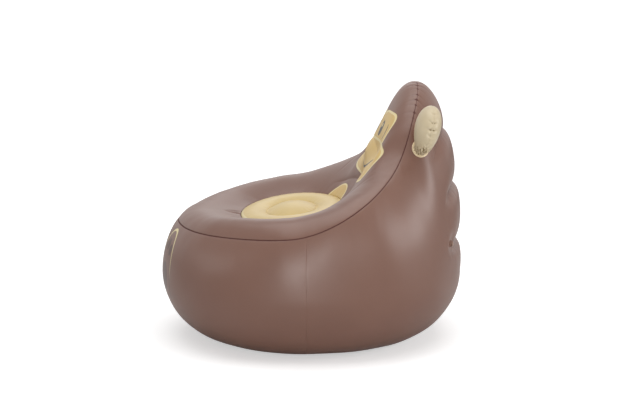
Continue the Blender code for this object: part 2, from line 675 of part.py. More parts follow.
def turned_piece(name, profile, place, colour, parent=None):
    """Round piece turned from a profile of (radius, height) pairs about its own Z."""
    body = bmesh.new()
    corners = [body.verts.new((radius, 0, height)) for radius, height in profile]
    edges = [body.edges.new(pair) for pair in zip(corners, corners[1:])]
    if profile[0][0] > 0:
        edges.append(body.edges.new((corners[-1], corners[0])))
    bmesh.ops.spin(body, geom=corners + edges, cent=(0, 0, 0), axis=(0, 0, 1),
                   angle=2 * math.pi, steps=VALVE_SIDES, use_merge=True)
    bmesh.ops.remove_doubles(body, verts=body.verts, dist=MERGE_DISTANCE)
    bmesh.ops.recalc_face_normals(body, faces=body.faces)
    piece = make_object(name, [], [], colour, VALVE_ROUGHNESS)
    body.to_mesh(piece.data)
    body.free()
    piece.data.shade_smooth()
    piece.data.set_sharp_from_angle(angle=math.radians(SHARP_DEGREES))
    piece.parent = parent
    piece.matrix_local = place
    return piece


def valve_place():
    """The valve's frame: its Z leaves the wall, and its flange clears the curved film."""
    spot = WallSpot(VALVE_TURN_SHARE, VALVE_LEVEL_SHARE)
    lowest = 0.0
    for step in range(VALVE_SIDES):
        angle = 2 * math.pi * step / VALVE_SIDES
        offset = FLANGE_RADIUS * (math.cos(angle) * spot.sideways + math.sin(angle) * spot.uphill)
        lowest = min(lowest, (spot.on_wall(offset, 0) - spot.point) @ spot.normal)
    frame = Matrix([spot.sideways, spot.uphill, spot.normal]).transposed()
    if frame.determinant() < 0:
        frame = Matrix([-spot.sideways, spot.uphill, spot.normal]).transposed()
    place = Matrix.Translation(Vector(spot.point) + Vector((0, CENTRE_SHIFT, 0))) @ frame.to_4x4()
    return spot, place, -lowest


def build_valve():
    """Push-in valve: a welded flange, a sliding stem, its plug and a check flap inside."""
    spot, place, bow = valve_place()
    behind = -(bow + FILM + FLANGE_SEAT_GAP)
    bore = STEM_RADIUS + FIT_GAP
    flange = turned_piece("valve_flange", [
        (bore, COLLAR_STANDOUT), (COLLAR_RADIUS, COLLAR_STANDOUT), (COLLAR_RADIUS, behind),
        (FLANGE_RADIUS, behind), (FLANGE_RADIUS, behind - FLANGE_THICKNESS),
        (COLLAR_RADIUS, behind - FLANGE_THICKNESS), (COLLAR_RADIUS, behind - COLLAR_DEPTH),
        (bore, behind - COLLAR_DEPTH)], place, VALVE_COLOUR)
    lip_bottom = COLLAR_STANDOUT + FIT_GAP
    lip_top = lip_bottom + STEM_LIP_THICKNESS
    stem_bore = STEM_RADIUS - STEM_WALL
    stem = turned_piece("valve_stem", [
        (stem_bore, lip_top), (STEM_LIP_RADIUS, lip_top), (STEM_LIP_RADIUS, lip_bottom),
        (STEM_RADIUS, lip_bottom), (STEM_RADIUS, -STEM_DEPTH), (stem_bore, -STEM_DEPTH)],
        Matrix(), VALVE_COLOUR, flange)
    cap_bottom = lip_top + FIT_GAP
    cap_top = cap_bottom + PLUG_CAP_THICKNESS
    spigot = stem_bore - FIT_GAP
    turned_piece("valve_plug", [
        (0, cap_top), (PLUG_CAP_RADIUS, cap_top), (PLUG_CAP_RADIUS, cap_bottom), (spigot, cap_bottom),
        (spigot, cap_bottom - PLUG_SPIGOT_LENGTH), (0, cap_bottom - PLUG_SPIGOT_LENGTH)],
        Matrix(), VALVE_COLOUR, stem)
    hinge = Matrix.Translation((0, -STEM_RADIUS, -STEM_DEPTH - FIT_GAP - FLAP_THICKNESS / 2))
    flap = turned_piece("valve_flap", [
        (0, FLAP_THICKNESS / 2), (STEM_RADIUS, FLAP_THICKNESS / 2),
        (STEM_RADIUS, -FLAP_THICKNESS / 2), (0, -FLAP_THICKNESS / 2)], hinge, CLEAR_COLOUR, stem)
    flap.data.transform(Matrix.Translation((0, STEM_RADIUS, 0)))
    return spot


def build_rear_wall(valve_spot):
    """Rear half of the wall, with the valve's hole and the ears' air holes."""
    wall = build_wall("outer_wall_rear", REAR_TURNS, REAR_LEVEL_SHARES, 1)
    hole = COLLAR_RADIUS + HOLE_CLEARANCE
    pegs = [peg("hole", valve_spot.point, valve_spot.normal, hole, CUT_OVERRUN, VALVE_SIDES)]
    ear = WallSpot(EAR_TURN_SHARE, EAR_LEVEL_SHARE)
    for mirror in (1, -1):
        point, normal = ear.point * (mirror, 1, 1), ear.normal * (mirror, 1, 1)
        pegs.append(peg("hole", point, normal, EAR_AIR_HOLE_RADIUS, CUT_OVERRUN, VENT_SIDES))
    cut(wall, join_pegs("rear_wall_holes", pegs))


def build_chair():
    for thing in list(bpy.data.objects):
        bpy.data.objects.remove(thing)
    build_wall("outer_wall_front", FRONT_TURNS, FRONT_LEVEL_SHARES, -1)
    build_rear_wall(build_valve())
    build_tub()
    build_seat()
    build_base()
    build_ring_tie("seat_rim_tie", RIM_TIE_ROW)
    build_ring_tie("seat_centre_tie", CENTRE_TIE_ROW)
    build_back_ties()
    build_ears()


build_chair()
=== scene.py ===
"""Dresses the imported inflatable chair: blown vinyl film with its welds, puckers and prints.

Everything is in metres. The chair faces -Y and +X is the sitter's left.
"""
import math

import bmesh
import bpy
import numpy as np
from mathutils import Matrix, Vector


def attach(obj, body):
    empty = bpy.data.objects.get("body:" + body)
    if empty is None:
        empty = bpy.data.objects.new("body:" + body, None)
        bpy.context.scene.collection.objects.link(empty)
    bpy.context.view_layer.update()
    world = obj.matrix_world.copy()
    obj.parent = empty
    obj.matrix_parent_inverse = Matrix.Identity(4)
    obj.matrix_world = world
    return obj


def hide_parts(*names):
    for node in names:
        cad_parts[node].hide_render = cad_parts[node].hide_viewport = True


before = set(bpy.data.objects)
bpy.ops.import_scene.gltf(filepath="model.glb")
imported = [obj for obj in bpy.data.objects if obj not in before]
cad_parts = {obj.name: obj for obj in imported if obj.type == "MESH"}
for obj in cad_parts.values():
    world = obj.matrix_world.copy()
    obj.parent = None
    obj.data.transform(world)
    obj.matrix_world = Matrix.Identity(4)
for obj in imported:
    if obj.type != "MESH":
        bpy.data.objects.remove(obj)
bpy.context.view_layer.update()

# Camera
# The photograph is taken from the sitter's left, a little above the chair and far enough
# away that its far arm is hardly smaller than its near one. The frame is 630 x 420 pixels.
FRAME_WIDTH = 630
CAMERA_DISTANCE = 5.0
CAMERA_ELEVATION = math.radians(12.7)
PIXELS_PER_METRE = 404.6
AIM = (0.0, -0.012, 0.25)
AIM_LEFT_OF_CENTRE, AIM_BELOW_CENTRE = 8.5, 23.0
SENSOR_WIDTH = 36.0


def placed(name, data):
    """A new object of a mesh, lamp or camera, put into the scene."""
    made = bpy.data.objects.new(name, data)
    bpy.context.scene.collection.objects.link(made)
    return made


backward = Vector((math.cos(CAMERA_ELEVATION), 0, math.sin(CAMERA_ELEVATION)))
rightward = Vector((0, 1, 0))
camera_turn = Matrix([rightward, backward.cross(rightward), backward]).transposed().to_4x4()
camera_data = bpy.data.cameras.new("side_camera")
camera_data.sensor_width = SENSOR_WIDTH
camera_data.lens = PIXELS_PER_METRE * CAMERA_DISTANCE / FRAME_WIDTH * SENSOR_WIDTH
camera_data.shift_x = AIM_LEFT_OF_CENTRE / FRAME_WIDTH
camera_data.shift_y = AIM_BELOW_CENTRE / FRAME_WIDTH
camera = placed("side_camera", camera_data)
camera.matrix_world = Matrix.Translation(Vector(AIM) + backward * CAMERA_DISTANCE) @ camera_turn
bpy.context.scene.camera = camera

# Belly wall
# Front and rear lengths of brown calendered vinyl film, welded together up the sides, to the
# base below and to the tub along the rim. Each section is a quarter of an oval under the
# belly line and an arc over it, and strips welded inside draw three creases across the back.
HALF_WIDTH, FRONT_REACH, REAR_REACH, HEIGHT = 0.350, 0.356, 0.380, 0.628
BELLY_FRONT_HEIGHT, BELLY_REAR_HEIGHT = 0.160, 0.174
BASE_SHARE, FOOT_FULLNESS_SHARE = 0.53, 0.94
REAR_SQUARENESS = 2.12
FILM = 0.0004
TIE_LEVEL_SHARES = (0.152, 0.460, 0.751)
TIE_HALF_WIDTH, TIE_FADE = 0.100, 0.055
REAR_CREASE_DEPTHS, REAR_CREASE_RISE, REAR_CREASE_DROP = (0.022, 0.019, 0.014), 0.026, 0.013
REAR_BULGE = 0.0055
MID_DEPTH = (FRONT_REACH - REAR_REACH) / 2
SIDE_TURN = 5 / 12

# Stations from the front to the rear of half the rim, as shares of the sizes above
STATION_DEGREES = (0, 20, 39, 58, 77, 90, 104, 117, 130, 141, 152, 165, 180)
RIM_X_SHARES = (0.0, 0.29, 0.557, 0.766, 0.903, 0.931, 0.906, 0.783, 0.594, 0.471, 0.389, 0.217, 0.0)
RIM_Y_SHARES = (-0.888, -0.829, -0.685, -0.461, -0.2, 0.0, 0.202, 0.384, 0.518, 0.597, 0.655, 0.7, 0.705)
RIM_Z_SHARES = (0.457, 0.457, 0.463, 0.472, 0.483, 0.499, 0.547, 0.612, 0.68, 0.756, 0.863, 0.963, 1.0)
WALL_TURN_DEGREES = (61, 61, 61, 62, 62, 62, 60, 58, 56, 57, 62, 77, 89)


def along(shares, turn, odd=False):
    """Catmull-Rom curve through the stations' shares at each turn, where 0 is the front and
    1 or -1 is the rear. An odd one, such as the rim's x, changes sign with the turn."""
    sign = -1.0 if odd else 1.0
    padded = np.array([sign * shares[1], *shares, sign * shares[-2]], float)
    place = np.abs(turn) * (len(shares) - 1)
    first = np.clip(np.floor(place).astype(int), 0, len(shares) - 2)
    part = place - first
    before, start, end, after = (padded[first + step] for step in range(4))
    bend = 2 * before - 5 * start + 4 * end - after
    twist = 3 * start - before - 3 * end + after
    value = start + part * (end - before + part * (bend + part * twist)) / 2
    return value * np.where(np.asarray(turn) < 0, sign, 1.0)


def belly_point(turn):
    """Widest line: x is the half width times sin(angle) to a power, y the reach times
    cos(angle) to the same power, which is 1 in front and a little less behind."""
    angle = np.radians(along(STATION_DEGREES, np.abs(turn)))
    power = np.where(angle > math.pi / 2, 2 / REAR_SQUARENESS, 1.0)
    reach = np.where(angle > math.pi / 2, REAR_REACH, FRONT_REACH)
    x = HALF_WIDTH * np.abs(np.sin(angle)) ** power * np.sign(turn)
    y = -reach * np.sign(np.cos(angle)) * np.abs(np.cos(angle)) ** power
    z = BELLY_FRONT_HEIGHT + (BELLY_REAR_HEIGHT - BELLY_FRONT_HEIGHT) * (1 - np.cos(angle)) / 2
    return np.stack([x, y, z], -1)


def rim_point(turn):
    """Rim seam: the stations' x, y and z shares times the half width, reach and height."""
    y_share = along(RIM_Y_SHARES, turn)
    x = HALF_WIDTH * along(RIM_X_SHARES, turn, odd=True)
    y = np.where(y_share < 0, FRONT_REACH, REAR_REACH) * y_share
    return np.stack([x, y, HEIGHT * along(RIM_Z_SHARES, turn)], -1)


def eased(value, low, high):
    """0 below low and 1 above high, with a smooth step between."""
    part = np.clip((value - low) / (high - low), 0, 1)
    return part * part * (3 - 2 * part)


def wall_point(turn, level):
    """Belly wall: a quarter oval from the base (level -1) to the belly line (0), then an arc
    to the rim (1) whose end is turned by the station's angle. Behind, it bulges by the root
    of a sine, less each crease's depth times e to the minus distance over reach."""
    turn, level = np.broadcast_arrays(np.asarray(turn, float), np.asarray(level, float))
    belly, rim = belly_point(turn), rim_point(turn)
    foot = (1 + np.minimum(level, 0)) * math.pi / 2
    spread = BASE_SHARE + (1 - BASE_SHARE) * np.sin(foot) ** FOOT_FULLNESS_SHARE
    turned = np.radians(along(WALL_TURN_DEGREES, turn))
    rise = np.clip(level, 0, 1)
    lean = (1 - np.cos(np.arcsin(rise * np.sin(turned)))) / (1 - np.cos(turned))
    flat = belly[..., :2] * spread[..., None] + (rim - belly)[..., :2] * lean[..., None]
    z = belly[..., 2] * (1 - np.cos(foot)) + (rim - belly)[..., 2] * rise
    depth = -REAR_BULGE * np.sqrt(np.sin(math.pi * rise))
    for share, crease in zip(TIE_LEVEL_SHARES, REAR_CREASE_DEPTHS):
        over = (level - share) * (HEIGHT - BELLY_REAR_HEIGHT)
        depth = depth + crease * np.exp(-np.maximum(over / REAR_CREASE_RISE, -over / REAR_CREASE_DROP))
    fade = 1 - eased(np.abs(flat[..., 0]), TIE_HALF_WIDTH, TIE_HALF_WIDTH + TIE_FADE)
    depth = depth * fade * (np.abs(turn) > SIDE_TURN)
    outward = belly[..., :2] / np.linalg.norm(belly[..., :2], axis=-1, keepdims=True)
    flat = flat - outward * depth[..., None]
    return np.stack([flat[..., 0], flat[..., 1], z], -1)


def wrapped(turns):
    """The same turns between -1 and 1, since 1 and -1 are both the rear."""
    return (np.asarray(turns) + 1) % 2 - 1


def unit(vectors):
    return vectors / np.linalg.norm(vectors, axis=-1, keepdims=True)


def lengths_along(points, axis=0):
    """Length run along the grid lines of one axis, from their first point."""
    steps = np.linalg.norm(np.diff(points, axis=axis), axis=-1)
    start = np.zeros_like(np.take(steps, [0], axis=axis))
    return np.concatenate([start, np.cumsum(steps, axis=axis)], axis=axis)


def spaced(curve, start, stop, gap):
    """Values from start to stop whose points on the curve are gap(run, whole, value) apart."""
    values = np.linspace(start, stop, 6001)
    run = lengths_along(curve(values))
    density = 1 / gap(run, run[-1], values)
    steps = np.concatenate([[0], np.cumsum(np.diff(run) * (density[1:] + density[:-1]) / 2)])
    return np.interp(np.linspace(0, steps[-1], int(steps[-1]) + 2), steps, values)


def grid_normals(points, closed):
    """Outward normals: the direction round the chair crossed with the direction up a column."""
    up = np.gradient(points, axis=0)
    if closed:
        round_about = np.roll(points, -1, axis=1) - np.roll(points, 1, axis=1)
    else:
        round_about = np.gradient(points, axis=1)
    return unit(np.cross(round_about, up))


UNEVENNESS, UNEVENNESS_FADE = 0.00035, 0.02


def undulation(points):
    """Slight unevenness of blown film: a sum of three sines of the place, in metres."""
    x, y, z = points[..., 0], points[..., 1], points[..., 2]
    value = np.sin(43 * x + 21 * y - 30 * z + 0.7) + np.sin(-27 * x + 47 * y + 19 * z + 2.1)
    return UNEVENNESS * (value + np.sin(33 * z + 26 * x * np.sign(y) - 12 * y))


def marks(seed, whole, spacing, width, reach):
    """Random puckers along a weld of a given length: place, width, reach, slant and depth share."""
    chance = np.random.default_rng(seed)
    steps = chance.uniform(spacing[0], spacing[1], int(whole / spacing[0]) + 1)
    place = np.cumsum(steps)
    place = place[place < whole - spacing[0]]
    count = len(place)
    return (place, chance.uniform(*width, count), chance.uniform(*reach, count),
            chance.uniform(-0.25, 0.25, count), chance.uniform(0.35, 1.0, count))


PUCKERED_STRIP = 0.08


def puckers(place, away, whole, pucker_marks, depth):
    """Depth of puckers over a grid: each is a bell curve across, and away / reach times
    e to (1 - away / reach) down its length, so it is nothing on the weld itself."""
    near = away.min(axis=1) < PUCKERED_STRIP
    total = np.zeros_like(away)
    mark_place, width, reach, slant, share = (value[:, None, None] for value in pucker_marks)
    run = away[None, near]
    across = place[None, None, :] - mark_place - slant * run
    across = (across + whole / 2) % whole - whole / 2
    part = run / reach
    total[near] = (share * part * np.exp(1 - part) * np.exp(-(across / width) ** 2)).sum(0)
    return total * depth


RIM_TABLE_TURNS = np.linspace(-1, 1, 8001)
RIM_TABLE_RUN = lengths_along(rim_point(RIM_TABLE_TURNS))
RIM_LENGTH = RIM_TABLE_RUN[-1]
HEAD_MARKS = marks(3, RIM_LENGTH, (0.013, 0.025), (0.0018, 0.0028), (0.0040, 0.0070))
RIM_MARKS = marks(5, RIM_LENGTH, (0.024, 0.060), (0.010, 0.020), (0.012, 0.030))
HEAD_TURNS, HEAD_WELD_TURNS = (0.82, 0.92), (0.86, 0.90)
CLOSE_DEPTH, CLOSE_SHARE_ELSEWHERE = 0.0020, 0.05
WIDE_DEPTH, WIDE_LOSS_ON_HEAD = 0.0007, 0.6


def rim_puckers(turns, away):
    """Close puckers over the head, where the seam bends most, and faint wide ones elsewhere.
    Returns their depth, the close ones' share of painted shade and the distance from the dark weld, which
    fades over the head and reaches out along the close puckers as painted shade in the gathers."""
    place = np.interp(turns, RIM_TABLE_TURNS, RIM_TABLE_RUN)
    head = CLOSE_SHARE_ELSEWHERE + (1 - CLOSE_SHARE_ELSEWHERE) * eased(np.abs(turns), *HEAD_TURNS)
    close = puckers(place, away, RIM_LENGTH, HEAD_MARKS, 1.0) * head
    wide = puckers(place, away, RIM_LENGTH, RIM_MARKS, WIDE_DEPTH) * (1 - WIDE_LOSS_ON_HEAD * head)
    depth = CLOSE_DEPTH * close + wide
    # The dark weld ink reaches out along the close puckers as painted shade in the gathers
    weld = away + HEAD_WELD_FADE * eased(np.abs(turns), *HEAD_WELD_TURNS) - GATHER_PAINTED_SHADE_REACH * close
    return depth, close, weld


def film_object(name, points, closed, measures=None, middle=None, hole=None):
    """Mesh of a sheet of points[row, column], closed round or not, with the film's thickness
    put inside it. Measures are numbers at each point, kept as attributes for the prints. Faces
    whose corners are all in the hole are left out."""
    rows, columns = points.shape[:2]
    number = np.arange(rows * columns).reshape(rows, columns)
    left = number if closed else number[:, :-1]
    right = np.roll(number, -1, axis=1) if closed else number[:, 1:]
    faces = np.stack([left[:-1], right[:-1], right[1:], left[1:]], -1).reshape(-1, 4)
    if hole is not None:
        faces = faces[~hole.ravel()[faces].all(axis=1)]
    faces = faces.tolist()
    vertices = points.reshape(-1, 3) + (0, MID_DEPTH, 0)
    if middle is not None:
        vertices = np.concatenate([vertices, middle[None] + (0, MID_DEPTH, 0)])
        faces += np.stack([left[-1], right[-1], np.full_like(left[-1], rows * columns)], -1).tolist()
    mesh = bpy.data.meshes.new(name)
    mesh.from_pydata(vertices.tolist(), [], faces)
    mesh.shade_smooth()
    for measure, values in (measures or {}).items():
        held = mesh.attributes.new(measure, "FLOAT", "POINT")
        numbers = np.zeros(len(vertices))
        numbers[:rows * columns] = values.ravel()
        numbers[rows * columns:] = values[-1].mean()
        held.data.foreach_set("value", numbers)
    piece = placed(name, mesh)
    thickness = piece.modifiers.new("film", "SOLIDIFY")
    thickness.thickness = FILM
    thickness.offset = -1.0
    return piece


def linear(hex_colour):
    """Linear RGBA of an sRGB hex colour."""
    parts = [int(hex_colour[place:place + 2], 16) / 255 for place in (1, 3, 5)]
    return (*[part / 12.92 if part <= 0.04045 else ((part + 0.055) / 1.055) ** 2.4 for part in parts], 1.0)


def add(tree, kind, settings=(), links=()):
    """Adds one shader node; settings are (property or socket, value), links (socket, output)."""
    made = tree.nodes.new("ShaderNode" + kind)
    for name, value in settings:
        if isinstance(name, str) and hasattr(made, name):
            setattr(made, name, value)
        else:
            made.inputs[name].default_value = value
    for name, output in links:
        tree.links.new(output, made.inputs[name])
    return made


INK_EDGE = 0.0003
WELD_CORE, WELD_EDGE, WELD_COVER = 0.0010, 0.0022, 0.95
CLOUD_SCALE, WAVE_SCALE, WAVE_STRENGTH, WAVE_HEIGHT = 14.0, 85.0, 0.12, 0.0004
SMOOTHER, ROUGHER = 0.03, 0.04
VINYL_IOR = 1.53


def ranged(tree, value, low, high, at_low, at_high):
    """Maps a value between low and high to the same place between two others, clamped."""
    return add(tree, "MapRange", [(1, low), (2, high), (3, at_low), (4, at_high)],
               [(0, value)]).outputs[0]


def inked(tree, colour, ink, share):
    """The colour with a share of ink laid over it."""
    return add(tree, "Mix", [("data_type", "RGBA"), (7, linear(ink))],
               [(0, share), (6, colour)]).outputs[2]


def ink_inside(tree, place, printed):
    """Ink's share inside a printed oval of (x, z, half width, half height, power): the length
    of the place as shares of the half sizes, which are squared first if the power is 4."""
    x, z, half_width, half_height, power = printed
    shares = add(tree, "VectorMath", [
        ("operation", "MULTIPLY_ADD"), (1, (1 / half_width, 0, 1 / half_height)),
        (2, (-x / half_width, 0, -z / half_height))], [(0, place)]).outputs[0]
    if power == 4:
        shares = add(tree, "VectorMath", [("operation", "MULTIPLY")],
                     [(0, shares), (1, shares)]).outputs[0]
    radius = add(tree, "VectorMath", [("operation", "LENGTH")], [(0, shares)]).outputs["Value"]
    soft = INK_EDGE / min(half_width, half_height) * power / 2
    return ranged(tree, radius, 1 - soft, 1 + soft, 1.0, 0.0)


def vinyl(name, ground, uneven, roughness, prints=(), weld=None, ovals=(), middle=0.0):
    """Calendered vinyl film. Calendering leaves it even and satin, so the eye gets broad soft
    highlights, a slight waviness in them and a faint cloudiness in the colour. Prints are
    (measure, colour) pairs: ink lies where the measured distance from the shape is negative.
    Ovals are (colour, oval, oval left out of it) and lie on both sides of the middle."""
    material = bpy.data.materials.new(name)
    material.use_nodes = True
    tree = material.node_tree
    shader = tree.nodes["Principled BSDF"]
    place = add(tree, "TexCoord").outputs["Object"]
    clouds = add(tree, "TexNoise", [("Scale", CLOUD_SCALE), ("Detail", 3.0)], [("Vector", place)])
    colour = add(tree, "Mix", [("data_type", "RGBA"), (6, linear(ground)), (7, linear(uneven))],
                 [(0, clouds.outputs["Fac"])]).outputs[2]
    for measure, ink in prints:
        distance = add(tree, "Attribute", [("attribute_name", measure)]).outputs["Fac"]
        colour = inked(tree, colour, ink, ranged(tree, distance, -INK_EDGE, INK_EDGE, 1.0, 0.0))
    shifted = add(tree, "VectorMath", [("operation", "SUBTRACT"), (1, (middle, 0, 0))],
                  [(0, place)]).outputs[0]
    mirrored = add(tree, "VectorMath", [("operation", "ABSOLUTE")], [(0, shifted)]).outputs[0]
    for ink, printed, left_out in ovals:
        inside = ink_inside(tree, mirrored, printed)
        if left_out:
            inside = add(tree, "Math", [("operation", "SUBTRACT"), ("use_clamp", True)],
                         [(0, inside), (1, ink_inside(tree, mirrored, left_out))]).outputs[0]
        colour = inked(tree, colour, ink, inside)
    if weld:
        # The heated bar leaves the weld darker and dull. The same ink is also painted shade of the weld's
        # groove and of the gathers, so it shows as a thin dark line. On the ears it is only painted shade,
        # in the gathers and in the folds round the neck
        distance = add(tree, "Attribute", [("attribute_name", "weld")]).outputs["Fac"]
        weld_and_painted_shade = ranged(tree, distance, WELD_CORE, WELD_EDGE, WELD_COVER, 0.0)
        gathers = add(tree, "Attribute", [("attribute_name", "gathers")]).outputs["Fac"]
        shaded = ranged(tree, gathers, 0.0, 1.0, 0.0, GATHER_SHADE)
        for share in (shaded, weld_and_painted_shade):
            colour = inked(tree, colour, weld, share)
    tree.links.new(colour, shader.inputs["Base Color"])
    # A calendered film's own waviness is about 12 mm long; its grain is too fine to show
    waves = add(tree, "TexNoise", [("Scale", WAVE_SCALE), ("Detail", 2.0)], [("Vector", place)])
    dull = ranged(tree, clouds.outputs["Fac"], 0.0, 1.0, roughness - SMOOTHER, roughness + ROUGHER)
    if weld:
        dull = add(tree, "Math", [("operation", "MULTIPLY_ADD"), (1, WELD_DULLNESS)],
                   [(0, weld_and_painted_shade), (2, dull)]).outputs[0]
    tree.links.new(dull, shader.inputs["Roughness"])
    bump = add(tree, "Bump", [("Strength", WAVE_STRENGTH), ("Distance", WAVE_HEIGHT)],
               [("Height", waves.outputs["Fac"])])
    tree.links.new(bump.outputs[0], shader.inputs["Normal"])
    shader.inputs["IOR"].default_value = VINYL_IOR
    return material


def chair_piece(piece, material, slot, *nodes):
    """Gives a film its material and puts it on the chair in place of its CAD nodes."""
    piece.data.materials.append(material)
    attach(piece, "chair")
    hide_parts(*nodes)


FILM_ROUGHNESS, WELD_DULLNESS = 0.37, 0.45
# The weld brown is the fused weld's own darker colour and also painted shade in the weld's groove and in the
# gathers
BROWN, BROWN_UNEVEN, BROWN_WELD_AND_SHADE = "#735143", "#6d4c3f", "#451d14"
CREAM, GOLD, DARK, PAD_BROWN = "#d8c795", "#c7a866", "#271b14", "#4f3328"
WELD_PULL, WELD_PULL_REACH = 0.0012, 0.0018
SIDE_PULL, SIDE_PULL_REACH = 0.0002, 0.0014
TAB = 0.003
# Painted shade in the gathers: how far the dark weld ink reaches out along the close puckers, and the share
# of weld brown laid over them. The last number fades the weld line over the head.
GATHER_PAINTED_SHADE_REACH, GATHER_SHADE, HEAD_WELD_FADE = 0.0095, 0.60, 0.0007


COLUMN_GAP, CLOSER_BY, CLOSER_TURNS = 0.0064, 0.0040, (0.66, 0.78)


def column_gap(turn):
    """Gap between columns at the rim: close over the head, wide elsewhere."""
    return COLUMN_GAP - CLOSER_BY * eased(np.abs(wrapped(turn)), *CLOSER_TURNS)


def oval(x, z, centre_x, centre_z, half_width, half_height, power=2.0):
    """Distance from an oval, squarer at higher powers and negative inside: (k - 1) / g, where
    k is the place's radius as a share of the oval's and g that share's steepness."""
    across, up = np.abs(x - centre_x) / half_width, np.abs(z - centre_z) / half_height
    radius = (across ** power + up ** power) ** (1 / power) + 1e-6
    steepness = np.hypot(across ** (power - 1) / half_width, up ** (power - 1) / half_height)
    return (radius - 1) * radius ** (power - 1) / steepness.clip(1e-6)


VALVE_CENTRE = np.array([0.13950, 0.34713, 0.25517])
VALVE_AXIS = np.array([0.32148, 0.94690, 0.00567])
VALVE_SPOT = (0.87, 0.205)
VALVE_FLAT_RADIUS, VALVE_FLAT_REACH, VALVE_FLAT_HEIGHT = 0.014, 0.036, 0.03
VALVE_WELD_RADIUS, VALVE_WELD_DEPTH, VALVE_WELD_WIDTH = 0.0125, 0.0006, 0.0012
COLLAR_RADIUS = 0.0080
HOLE_RADIUS = COLLAR_RADIUS - 0.0018


def round_valve(points):
    """Flattens the wall round the valve's flange, which is stiffer than the film, with a
    shallow round weld, and puts the hole's edge inside the collar."""
    offset = points - VALVE_CENTRE
    height = offset @ VALVE_AXIS
    across = offset - height[..., None] * VALVE_AXIS
    radius = np.linalg.norm(across, axis=-1)
    near = (radius < VALVE_FLAT_REACH) & (np.abs(height) < VALVE_FLAT_HEIGHT)
    keep = np.where(near, eased(radius, VALVE_FLAT_RADIUS, VALVE_FLAT_REACH), 1.0)
    weld = VALVE_WELD_DEPTH * np.exp(-((radius - VALVE_WELD_RADIUS) / VALVE_WELD_WIDTH) ** 2) * near
    points = points - VALVE_AXIS * (height * (1 - keep) + weld)[..., None]
    inside = near & (radius < HOLE_RADIUS)
    snapped = across * (HOLE_RADIUS / radius.clip(1e-6) - 1)[..., None]
    return points + np.where(inside[..., None], snapped, 0.0), inside


FRONT_ROWS_TURN, REAR_ROWS_TURN = 0.0, 0.93
BASE_WELD_SHIFT, TIE_PUCKER_DEPTH = 0.0004, 0.0005
SHARP_ANGLE = math.radians(50)


def wall_film(name, start, stop, front):
    """One length of the wall as a grid of levels and turns, with its welds and puckers. The
    rows are spaced along the column at one turn, and closer at the ties and the valve."""
    ends = lambda run, whole: np.minimum(run, whole - run)

    def turn_gap(run, whole, turn):
        gap = np.minimum(column_gap(turn), 0.0005 + 0.3 * ends(run, whole))
        from_valve = np.abs(run - np.interp(VALVE_SPOT[0], turn, run))
        return gap if front else np.minimum(gap, 0.0007 + 0.2 * from_valve)

    turns = spaced(lambda turn: rim_point(wrapped(turn)), start, stop, turn_gap)
    rows_turn = FRONT_ROWS_TURN if front else REAR_ROWS_TURN

    def row_gap(run, whole, level):
        gap = np.minimum(0.0078, 0.0007 + 0.27 * ends(run, whole))
        if not front:
            for share in (*TIE_LEVEL_SHARES, VALVE_SPOT[1]):
                gap = np.minimum(gap, 0.0016 + 0.35 * np.abs(run - np.interp(share, level, run)))
        return gap

    levels = spaced(lambda level: wall_point(np.full_like(level, rows_turn), level), -1, 1, row_gap)
    turns = wrapped(turns)
    if not front:
        turns[0], turns[-1] = SIDE_TURN, -SIDE_TURN
    points = wall_point(turns[None, :], levels[:, None])
    normals = grid_normals(points, False)
    up = lengths_along(points)
    from_rim, from_base = up[-1] - up, up
    across = lengths_along(points, axis=1)
    from_side = np.minimum(across, across[:, -1:] - across)
    sink = WELD_PULL * np.exp(-from_rim / WELD_PULL_REACH) + WELD_PULL * np.exp(-from_base / WELD_PULL_REACH)
    sink += SIDE_PULL * np.exp(-from_side / SIDE_PULL_REACH)
    rim_sink, gathers, rim_weld = rim_puckers(turns, from_rim)
    sink += rim_sink
    calm = 1 - np.exp(-np.minimum(from_rim, from_base) / UNEVENNESS_FADE)
    sink -= undulation(points) * calm
    if not front:
        for number, share in enumerate(TIE_LEVEL_SHARES):
            row = np.array([np.interp(share, levels, column) for column in up.T])
            away = np.abs(up - row[None, :])
            fade = 1 - eased(np.abs(points[..., 0]), TIE_HALF_WIDTH, TIE_HALF_WIDTH + TIE_FADE)
            wide = marks(20 + number, 0.4, (0.014, 0.030), (0.004, 0.008), (0.006, 0.016))
            sink += puckers(points[0, :, 0] / BASE_SHARE + 0.2, away, 0.8, wide, TIE_PUCKER_DEPTH) * fade
    points = points - normals * sink[..., None]
    points, hole = round_valve(points)
    # The weld measure draws the dark weld line, partly painted shade of its groove, and the painted shade in
    # the gathers
    measures = {"weld": np.minimum(rim_weld, from_base + BASE_WELD_SHIFT), "gathers": gathers}
    inward = -normals
    rim_tab = points[-1] + inward[-1] * TAB
    base_tab = points[0] + inward[0] * TAB
    points = np.concatenate([base_tab[None], points, rim_tab[None]])
    inward = np.concatenate([inward[:1], inward, inward[-1:]])
    start_tab, stop_tab = (points[:, [edge]] + inward[:, [edge]] * TAB for edge in (0, -1))
    points = np.concatenate([start_tab, points, stop_tab], axis=1)
    measures = {key: np.pad(value, 1, mode="edge") for key, value in measures.items()}
    wall = film_object(name, points, False, measures, hole=np.pad(hole, 1))
    wall.data.set_sharp_from_angle(angle=SHARP_ANGLE)
    return wall


front_wall = wall_film("front_wall_film", -SIDE_TURN, SIDE_TURN, True)
rear_wall = wall_film("rear_wall_film", SIDE_TURN, 2 - SIDE_TURN, False)
